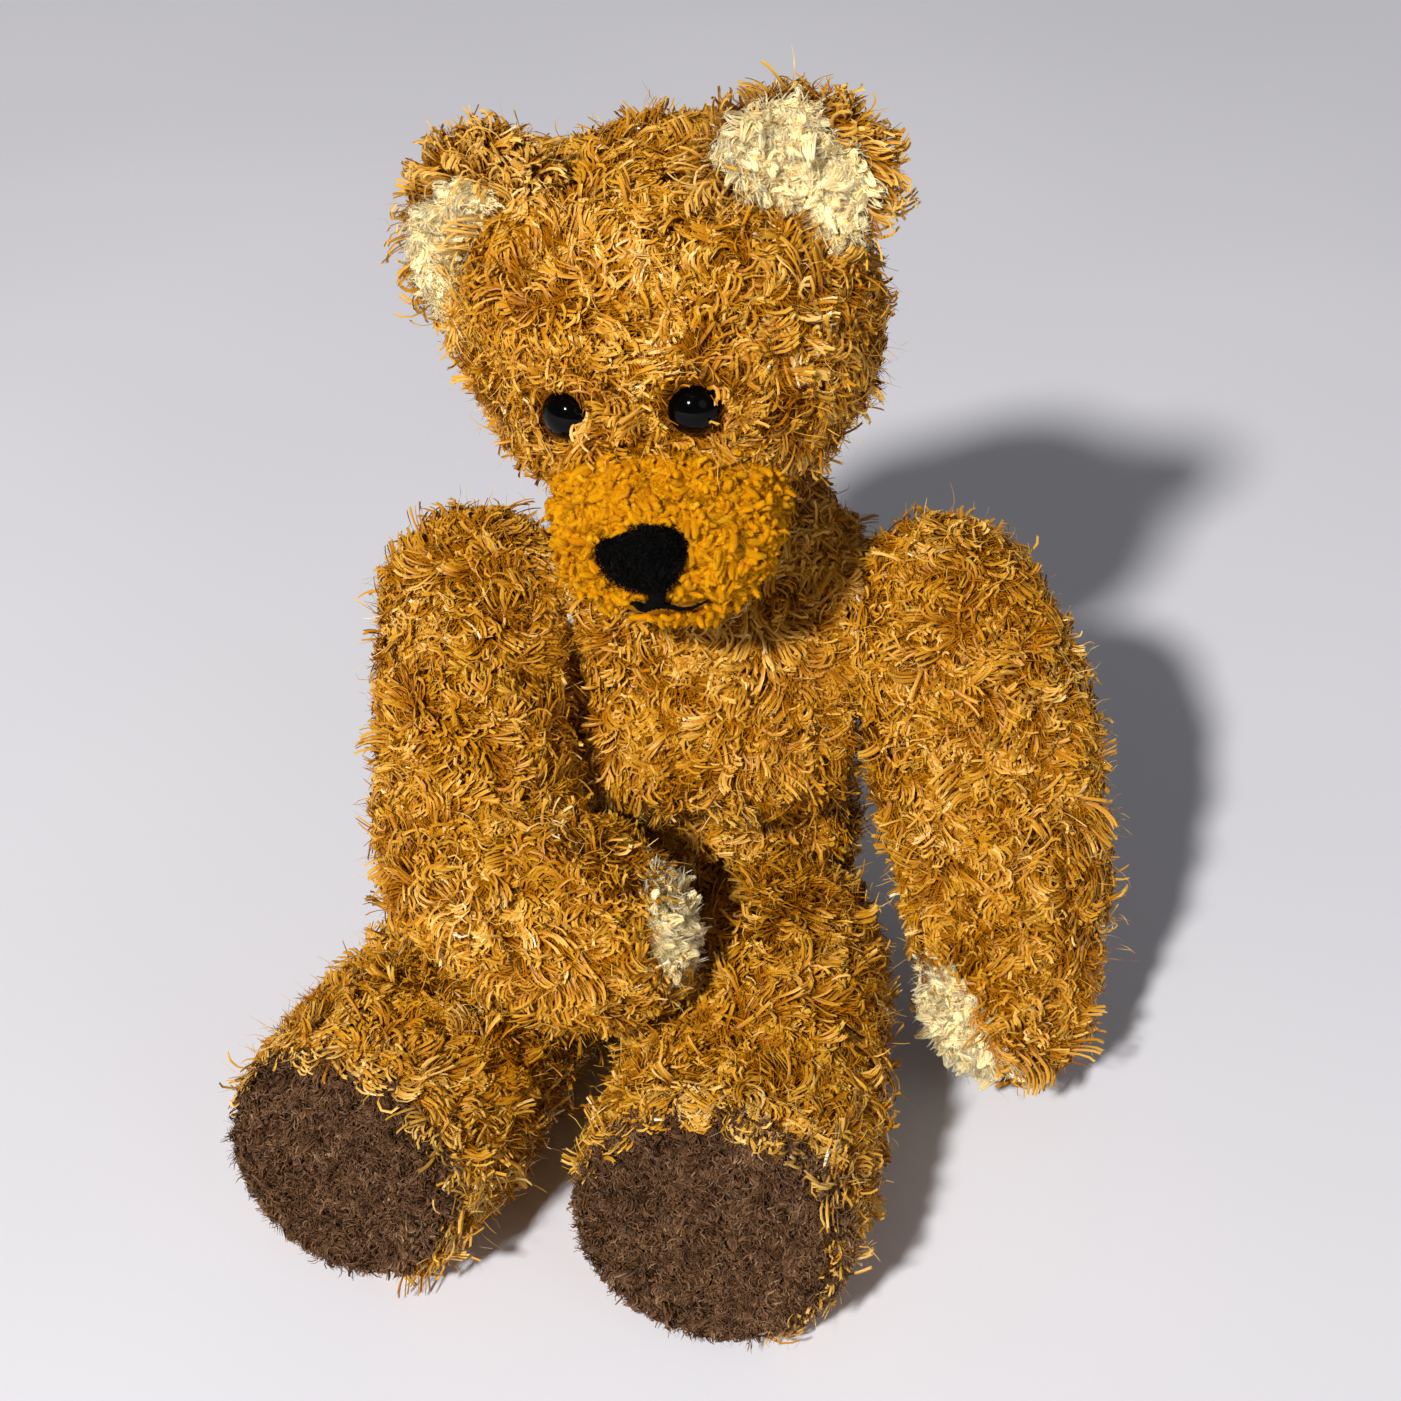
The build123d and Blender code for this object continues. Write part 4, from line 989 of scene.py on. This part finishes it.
def radial(side):
    """On an ear, strands point outwards from its centre."""
    c, n, x, y = ear_frame(side)

    def comb(p, nn, way):
        r = p - c
        r = r - np.outer(r @ n, n)
        return way * 0.5 + unit(r) * (np.linalg.norm(r, axis=1) / 9.0)[:, None]
    return comb


def lining_on_head(side):
    """Where an ear's lining runs on over the head's side."""
    def zone(p, n):
        q = head_local(p)
        return (q[:, 1] < 12) & (q[:, 2] > -16) & inside_sight(EAR_CREAM[side], p)
    return zone


def oval(x, y, a, b):
    return [(x + a * math.cos(t), y + b * math.sin(t)) for t in np.linspace(0, 2 * math.pi, 24, endpoint=False)]


def over_eyes(p):
    """Places that would hide an eye in the picture."""
    return (head_local(p)[:, 1] < -22) & (inside_sight(oval(691, 408, 23.5, 20.5), p) | inside_sight(oval(557, 417, 15, 22), p))


coat("head", head_core, "head", 100, both(off_snout(-2.0), outside(lining_on_head(1)), outside(lining_on_head(-1)),
                                          away(EYES["left"][0], 5.2), away(EYES["right"][0], 5.2)), comb=comb_head, block=over_eyes)
dress(head_core, pile_backing, "head", "golden_pile", "head_cover", "head_stuffing")
for side, name in ((1, "left"), (-1, "right")):
    ear = finished(ear_skin(name + "_ear_raw", side), name + "_ear_core", voxel=1.0, smooth=3)
    dress(ear, pile_backing, "head", "golden_pile", name + "_ear")
    # the ear's outer strands take the paler copy of the yarn: painted light
    coat(name + "_ear", ear, "head", 120 + 10 * side, ear_zone(side, False), length=(9.0, 1.6), density=0.66, fuzz=2.0, down=0.0,
         tilt=(54, 14), comb=radial(side), yarn=ear_yarn)
    for core, zone, tag in ((ear, ear_zone(side, True), ""), (head_core, lining_on_head(side), "_edge")):
        recolour(core, zone, cream_backing)
        if len(sample(core, 1.0, 1, zone)[0]) < 20:
            continue
        wool(name + "_ear_lining_tufts" + tag, core, "head", 140 + 10 * side, zone)
    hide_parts(name + "_ear_lining")

# ---- eyes
for side, (centre, out) in EYES.items():
    across = unit(np.cross(out, HZ))
    rise_ = np.cross(across, out)
    around, rings = 56, 18
    a = np.linspace(0, math.pi, rings + 1)
    ring = np.linspace(0, 2 * np.pi, around, endpoint=False)
    c = centre + out * (2.5 - 4.5)
    verts = [c + out * 4.5]
    for t in a[1:-1]:
        verts += [c + out * 4.5 * math.cos(t) + (across * math.cos(p) + rise_ * math.sin(p)) * 5.35 * math.sin(t) for p in ring]
    verts.append(c - out * 4.5)
    faces = []
    for j in range(around):
        k = (j + 1) % around
        faces.append((0, 1 + j, 1 + k))
        faces.append((len(verts) - 1, 1 + (rings - 2) * around + k, 1 + (rings - 2) * around + j))
        for i in range(rings - 2):
            faces.append((1 + i * around + j, 1 + (i + 1) * around + j, 1 + (i + 1) * around + k, 1 + i * around + k))
    eye = mesh_from(side + "_eye_dome", np.array(verts), faces)
    dress(eye, eye_black, "head", "eye_plastic", side + "_eye")

# a few strands that have fallen across the right eye
g = np.random.default_rng(77)
c, out = EYES["right"]
front = c + out * 3.4
FALLEN = [[(560, 381), (558, 394), (557, 405), (558, 416), (562, 426), (568, 431)], [(553, 404), (560, 408), (567, 411), (573, 413), (579, 417), (584, 424)],
          [(567, 400), (569, 407), (572, 412), (576, 416), (580, 421), (583, 428)], [(580, 414), (576, 420), (573, 425), (571, 431), (571, 437), (572, 443)],
          [(582, 400), (579, 408), (578, 415), (579, 422), (581, 430), (583, 438)], [(586, 408), (581, 412), (577, 418), (575, 424), (576, 431), (580, 440)],
          [(584, 420), (580, 424), (577, 430), (577, 436), (579, 443), (583, 449)], [(590, 398), (585, 402), (582, 408), (581, 414), (583, 421), (587, 427)],
          [(592, 405), (587, 411), (584, 418), (583, 426), (584, 434), (588, 441)], [(576, 384), (580, 390), (583, 397), (585, 405), (588, 412), (592, 418)],
          [(571, 380), (574, 388), (576, 396), (579, 404), (583, 411), (588, 416)], [(590, 424), (585, 430), (582, 436), (581, 442), (583, 448), (587, 453)],
          [(578, 440), (581, 434), (584, 427), (586, 420), (587, 412), (591, 406)], [(586, 390), (584, 398), (586, 406), (589, 414), (590, 422), (587, 430)]]
for _ in range(34):
    x0, y0, x1 = g.uniform(586, 598), g.uniform(386, 440), g.uniform(568, 578)
    y1, bow = y0 + g.uniform(2, 18), g.uniform(-5, 3)
    FALLEN.append([(x0 + (x1 - x0) * t, y0 + (y1 - y0) * t ** 1.5 + bow * 4 * t * (1 - t)) for t in (0, 0.2, 0.4, 0.6, 0.8, 1.0)])
lines = np.array([catmull([on_plane(x, y, front + out * (0.3 * k % 1.0), -AHEAD) for x, y in path], 2) for k, path in enumerate(FALLEN)])
ends = np.linspace(0, 1, lines.shape[1])
lines = lines - out[None, None] * (2.4 * np.clip(1 - ends * 2, 0, 1) ** 2 + 0.5 * np.clip(ends * 2 - 1, 0, 1) ** 2)[None, :, None]
fallen = ribbons("fallen_strands", lines, np.repeat(-AHEAD[None], len(lines), 0), g.normal(0.52, 0.06, len(lines)), g,
                 np.interp(ends, (0, 0.2, 0.9, 1), (0.6, 1, 1, 0.8)), arch=0.3, colour=g.uniform(0.25, 0.9, len(lines)), loose=8.0)
dress(fallen, pile_yarn, "head", "golden_pile")

# ---- snout
dress(muzzle_core, snout_backing, "head", "muzzle_pile", "muzzle", "muzzle_stuffing")
snout_tree = surface_tree(muzzle_core)


def grown_outline(outline, by):
    o = np.asarray(outline, float)
    c = o.mean(0)
    return c + (o - c) * (1 + by / np.linalg.norm(o - c, axis=1, keepdims=True))


def snout_zone(p, n):
    q = head_local(p)
    out = (q[:, 0] / 40.0) ** 2 + (q[:, 1] / 37.0) ** 2 + (q[:, 2] / 36.0) ** 2 > 1
    return out & ~inside_sight(grown_outline(NOSE, -2.0), p)


def on_face(p):
    """Places seen within the nose's or the mouth's outline."""
    return inside_sight(grown_outline(NOSE, 0.5), p) | inside_sight(LIPS, p)


chenille("muzzle_tufts", muzzle_core, "head", "muzzle_pile", snout_curls, 700, snout_zone, 1.0, (4.4, 1.1), 0.68, fuzz=2.2, fine=0.15, nap=4.0, block=on_face)

# ---- nose
rim = np.array([on_plane(641 + (x - 644) * 0.945, 559 + (y - 560) * 0.95, NOSE_AT + NOSE_OUT * 2.6, NOSE_OUT) - NOSE_OUT * 1.3 for x, y in NOSE])
rim = catmull(np.concatenate([rim, rim[:1]]), 4)[:-1]
mid = rim.mean(0)
levels = [(1.0, -4.0), (1.01, -1.0), (1.0, 0.9), (0.965, 1.7), (0.90, 2.3), (0.78, 2.8), (0.60, 3.15), (0.40, 3.35), (0.2, 3.45)]
verts = np.concatenate([mid + (rim - mid) * f + NOSE_OUT * h for f, h in levels] + [(mid - NOSE_OUT * 4.0)[None], (mid + NOSE_OUT * 3.5)[None]])
count = len(rim)
faces = [(i * count + j, i * count + (j + 1) % count, (i + 1) * count + (j + 1) % count, (i + 1) * count + j)
         for i in range(len(levels) - 1) for j in range(count)]
faces += [(len(verts) - 2, (j + 1) % count, j) for j in range(count)]
faces += [(len(verts) - 1, (len(levels) - 1) * count + j, (len(levels) - 1) * count + (j + 1) % count) for j in range(count)]
nose_raw = mesh_from("nose_raw", verts, faces)
bm = bmesh.new()
bm.from_mesh(nose_raw.data)
bmesh.ops.recalc_face_normals(bm, faces=bm.faces)
bm.to_mesh(nose_raw.data)
bm.free()
nose = finished(nose_raw, "nose_felt", voxel=0.55, smooth=2)
co, no, _ = arrays(nose)
set_points(nose, co + no * (Waves(3.2, 31)(co) * 0.10 + Waves(1.3, 32)(co) * 0.07)[:, None])
dress(nose, felt_black, "head", "black_thread", "nose")
curls("nose_fibres", nose, "head", "black_thread", black_fibre, 760, lambda p, n: (p - NOSE_AT) @ NOSE_OUT > -0.5, density=5.5, length=(1.7, 0.5),
      width=(0.16, 0.04), curl=(170, 90), tilt=(68, 16), rise=0.25, steps=4, arch=0.0)


def yarn_line(name, places, widths, lift, plies=3):
    """A stitched yarn seen along places in the picture: twisted plies that taper with the widths."""
    at = np.array([on_surface(snout_tree, x, y, 0.0)[0] - sight(x, y) * lift for x, y in places])
    nn = np.array([on_surface(snout_tree, x, y, lift)[1] for x, y in places])
    both_ = catmull(np.hstack([at, nn, np.asarray(widths, float)[:, None]]), 8)
    c, nn, w = both_[:, :3], unit(both_[:, 3:6]), both_[:, 6]
    d = unit(np.gradient(c, axis=0))
    side = unit(np.cross(d, nn))
    s_ = np.concatenate([[0], np.cumsum(np.linalg.norm(np.diff(c, axis=0), axis=1))])
    lines = []
    for k in range(plies):
        q = s_ * 2 * np.pi / 4.2 + k * 2 * np.pi / plies
        lines.append(c + (side * np.cos(q)[:, None] * 1.15 + nn * np.sin(q)[:, None] * 0.8) * (w * 0.45)[:, None])
    lines = np.array(lines)
    profile = w / w.max()
    return tubes(name, lines, np.full(plies, w.max() * 0.62), profile, around=8, colour=np.full(plies, 0.35))


mouth = yarn_line("mouth_yarn", MOUTH, (0.2, 0.4, 0.75, 0.95, 1.0, 0.95, 0.6, 0.5, 0.4, 0.3, 0.15), 2.6)
stem = yarn_line("mouth_stem", STEM, (1.8, 1.8, 1.7, 1.4), 2.4)
dress(mouth, black_fibre, "head", "black_thread", "mouth_stitch")
dress(stem, black_fibre, "head", "black_thread")
for k, core in enumerate((mouth, stem)):
    curls(core.name + "_fibres", core, "head", "black_thread", black_fibre, 780 + k, None, density=5.0, length=(1.3, 0.4), width=(0.13, 0.03),
          curl=(120, 90), tilt=(62, 18), rise=0.2, steps=3, arch=0.0)

# ---- body
LEFT_PALM = patch(P(60, -37, 26), (0, 0.35, 0.93), (-0.84, -0.48, 0.2), 18.0, 12.5)
RIGHT_PALM = both(patch(P(3.5, -61, 76), (0, 1, 0), (0.96, 0.1, -0.28), 13.0, 15.5),
                  lambda p, n: ~inside_sight([(560, 760), (656, 760), (654, 850), (648, 900), (647, 930), (652, 960), (662, 985), (668, 1040), (560, 1040)], p))
coat("torso", torso_core, "torso", 200)
for name, shoulder, out in (("left", LEFT_SHOULDER, 1), ("right", RIGHT_SHOULDER, -1)):
    coat("torso_rim_" + name, torso_core, "torso", 260 + 10 * out, rim_of_flat(shoulder, (out, 0, 0)), length=(7.4, 1.4), density=1.0,
         fuzz=2.5, comb=lambda p, n, way, out=out: way * 0.4 + np.array((out * 1.6, 0, 0)), frizz=0.05)
for name, core, shoulder, out, palm, seed in (("left", left_arm_core, LEFT_SHOULDER, 1, LEFT_PALM, 300),
                                              ("right", right_arm_core, RIGHT_SHOULDER, -1, RIGHT_PALM, 400)):
    coat(name + "_arm", core, name + "_arm", seed, both(off_flat(shoulder, (out, 0, 0), 15), outside(palm)))
    coat(name + "_arm_rim", core, name + "_arm", seed + 60, rim_of_flat(shoulder, (out, 0, 0)), length=(7.0, 1.4), density=1.3, fuzz=3.0,
         comb=lambda p, n, way, out=out: way * 0.4 + np.array((-out * 1.6, 0, 0)), frizz=0.05)
    pad = wool(name + "_palm_tufts", core, name + "_arm", seed + 20, palm)
    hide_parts(name + "_palm_pad")


def off_sole(path, rim):
    o, n, _ = sole(path)
    return lambda p, nn: ((p - o) @ n) < rim


def round_sole(o, n, x, y, a, b):
    """Golden strands lie over a sole's rim above and outside only."""
    y = y if y[2] > 0 else -y

    def block(p):
        r = p - o
        h, u, v = r @ n, r @ x / a, r @ y / b
        allowed = (v > 0.40) | ((u > 0.8) & (v > -0.3))
        return ((h > 0.8) & ~allowed) | ((h > -7) & (v < 0.1) & (u < 0.45) & (u * u + v * v > 1.0)) | ((h > -1) & (u * u + v * v < 0.6))
    return block


SOLES = {"left": (LEFT_LEG, 29.0, 27.6, 0.4), "right": (RIGHT_LEG, 26.8, 25.4, 1.6)}
for i, (name, core) in enumerate((("left", left_leg_core), ("right", right_leg_core))):
    path, half_a, half_b, up = SOLES[name]
    o, n, x = sole(path)
    y = np.cross(n, x)
    o = o + y * up * (1 if y[2] > 0 else -1)
    coat(name + "_leg", core, name + "_leg", 500 + 100 * i, off_sole(path, -1.6), block=round_sole(o, n, x, y, half_a, half_b))

    def fringe(p, nn, o=o, n=n, x=x, y=y if y[2] > 0 else -y, a=half_a, b=half_b):
        r = p - o
        h, u, v = r @ n, r @ x / a, r @ y / b
        return (h > -11) & (h < -1.6) & ((v > 0.3) | ((u > 0.35) & (v > -0.75)))

    def inner(p, o=o, n=n, x=x, y=y, a=half_a, b=half_b):
        r = p - o
        return ((r @ x / a) ** 2 + (r @ y / b) ** 2 < 0.68) & (r @ n > -1)
    # the fringe also takes the paler, painted-light copy of the yarn
    coat(name + "_leg_fringe", core, name + "_leg", 540 + 100 * i, fringe, length=(9.0, 1.6), density=0.55, fuzz=0.5,
         comb=lambda p, nn, way, n=n: way * 0.35 + n * 1.0, frizz=0.05, block=inner, yarn=ear_yarn)
    ang = np.radians(np.linspace(0, 90, 12))
    rows = [(-7.0, 0.90), (-4.0, 0.965)] + [(-1.4 + 3.6 * math.sin(a), math.cos(a) ** 0.45 if a < 1.56 else 0.06) for a in ang]
    pad = loft(name + "_pad", np.array([o + n * h for h, _ in rows]), np.repeat(x[None], len(rows), 0), np.repeat(y[None], len(rows), 0),
               np.array([half_a * f for _, f in rows]), np.array([half_b * f for _, f in rows]), 64)
    pad = finished(pad, name + "_foot_pad_core", voxel=1.2, smooth=6)
    dress(pad, sole_backing, name + "_leg", "brown_pile", name + "_foot_pad")

    def zone(p, nn, o=o, n=n):
        return ((p - o) @ n) > -3.2
    curls(name + "_foot_pad_curls", pad, name + "_leg", "brown_pile", sole_curls, 800 + 20 * i, zone, density=3.2, length=(4.0, 0.9),
          width=(0.34, 0.08), curl=(190, 70), tilt=(60, 16), rise=1.3, steps=4, arch=0.0, clump=0.6, per=10)
    curls(name + "_foot_pad_fuzz", pad, name + "_leg", "brown_pile", sole_curls, 810 + 20 * i, zone, density=1.6, length=(3.4, 0.9),
          width=(0.18, 0.04), curl=(200, 90), tilt=(52, 20), rise=1.6, steps=4, arch=0.0)
dress(torso_core, pile_backing, "torso", "golden_pile", "body_cover", "body_stuffing")
for core, palm in ((left_arm_core, LEFT_PALM), (right_arm_core, RIGHT_PALM), (left_leg_core, None), (right_leg_core, None)):
    limb_name = core.name.replace("_core", "")
    dress(core, pile_backing, limb_name, "golden_pile", limb_name + "_cover", limb_name + "_stuffing")
    if palm is not None:
        recolour(core, palm, cream_backing)

# ------------------------------------------------------------------ floor and light
floor = mesh_from("floor", [(-4000, -4000, 0), (4000, -4000, 0), (4000, 4000, 0), (-4000, 4000, 0)], [(0, 1, 2, 3)], smooth=False)
m, nt, b = material("floor_paper", 0.75, specular=0.25)
tc = nt.nodes.new("ShaderNodeTexCoord")
nz = nt.nodes.new("ShaderNodeTexNoise")
nz.inputs["Scale"].default_value, nz.inputs["Detail"].default_value = 3.0, 2.0
nt.links.new(tc.outputs["Object"], nz.inputs["Vector"])
nt.links.new(ramp(nt, [(0.35, "#E0E2EE"), (0.65, "#E6E8F4")], nz.outputs["Fac"]), b.inputs["Base Color"])
floor.data.materials.append(m)

world = bpy.data.worlds.new("world")
scene.world = world
world.use_nodes = True
world.node_tree.nodes["Background"].inputs["Color"].default_value = (1.0, 0.985, 0.97, 1)
world.node_tree.nodes["Background"].inputs["Strength"].default_value = 0.14


def area(name, where, look, size, power, tint=(1, 1, 1)):
    data = bpy.data.lights.new(name, "AREA")
    data.shape, data.size, data.energy, data.color = "DISK", size, power, tint
    obj = bpy.data.objects.new(name, data)
    scene.collection.objects.link(obj)
    obj.location = where
    obj.rotation_mode = "QUATERNION"
    obj.rotation_quaternion = (Vector(look) - Vector(where)).to_track_quat("-Z", "Y")
    return obj


area("key", (-0.80, -2.16, 1.99), (0, 0, 0.06), 0.24, 114.0, (1.0, 0.955, 0.88))
area("fill", (1.8, -1.8, 1.6), (0, 0, 0.10), 1.6, 5.0, (0.97, 0.97, 1.0))
scene.view_settings.view_transform = "Standard"

HEAVY = {o.name: sum(len(p.vertices) - 2 for p in o.data.polygons) for o in bpy.data.objects if o.type == "MESH"}
print("TRIANGLES", sum(HEAVY.values()), sorted(HEAVY.items(), key=lambda t: -t[1])[:14])
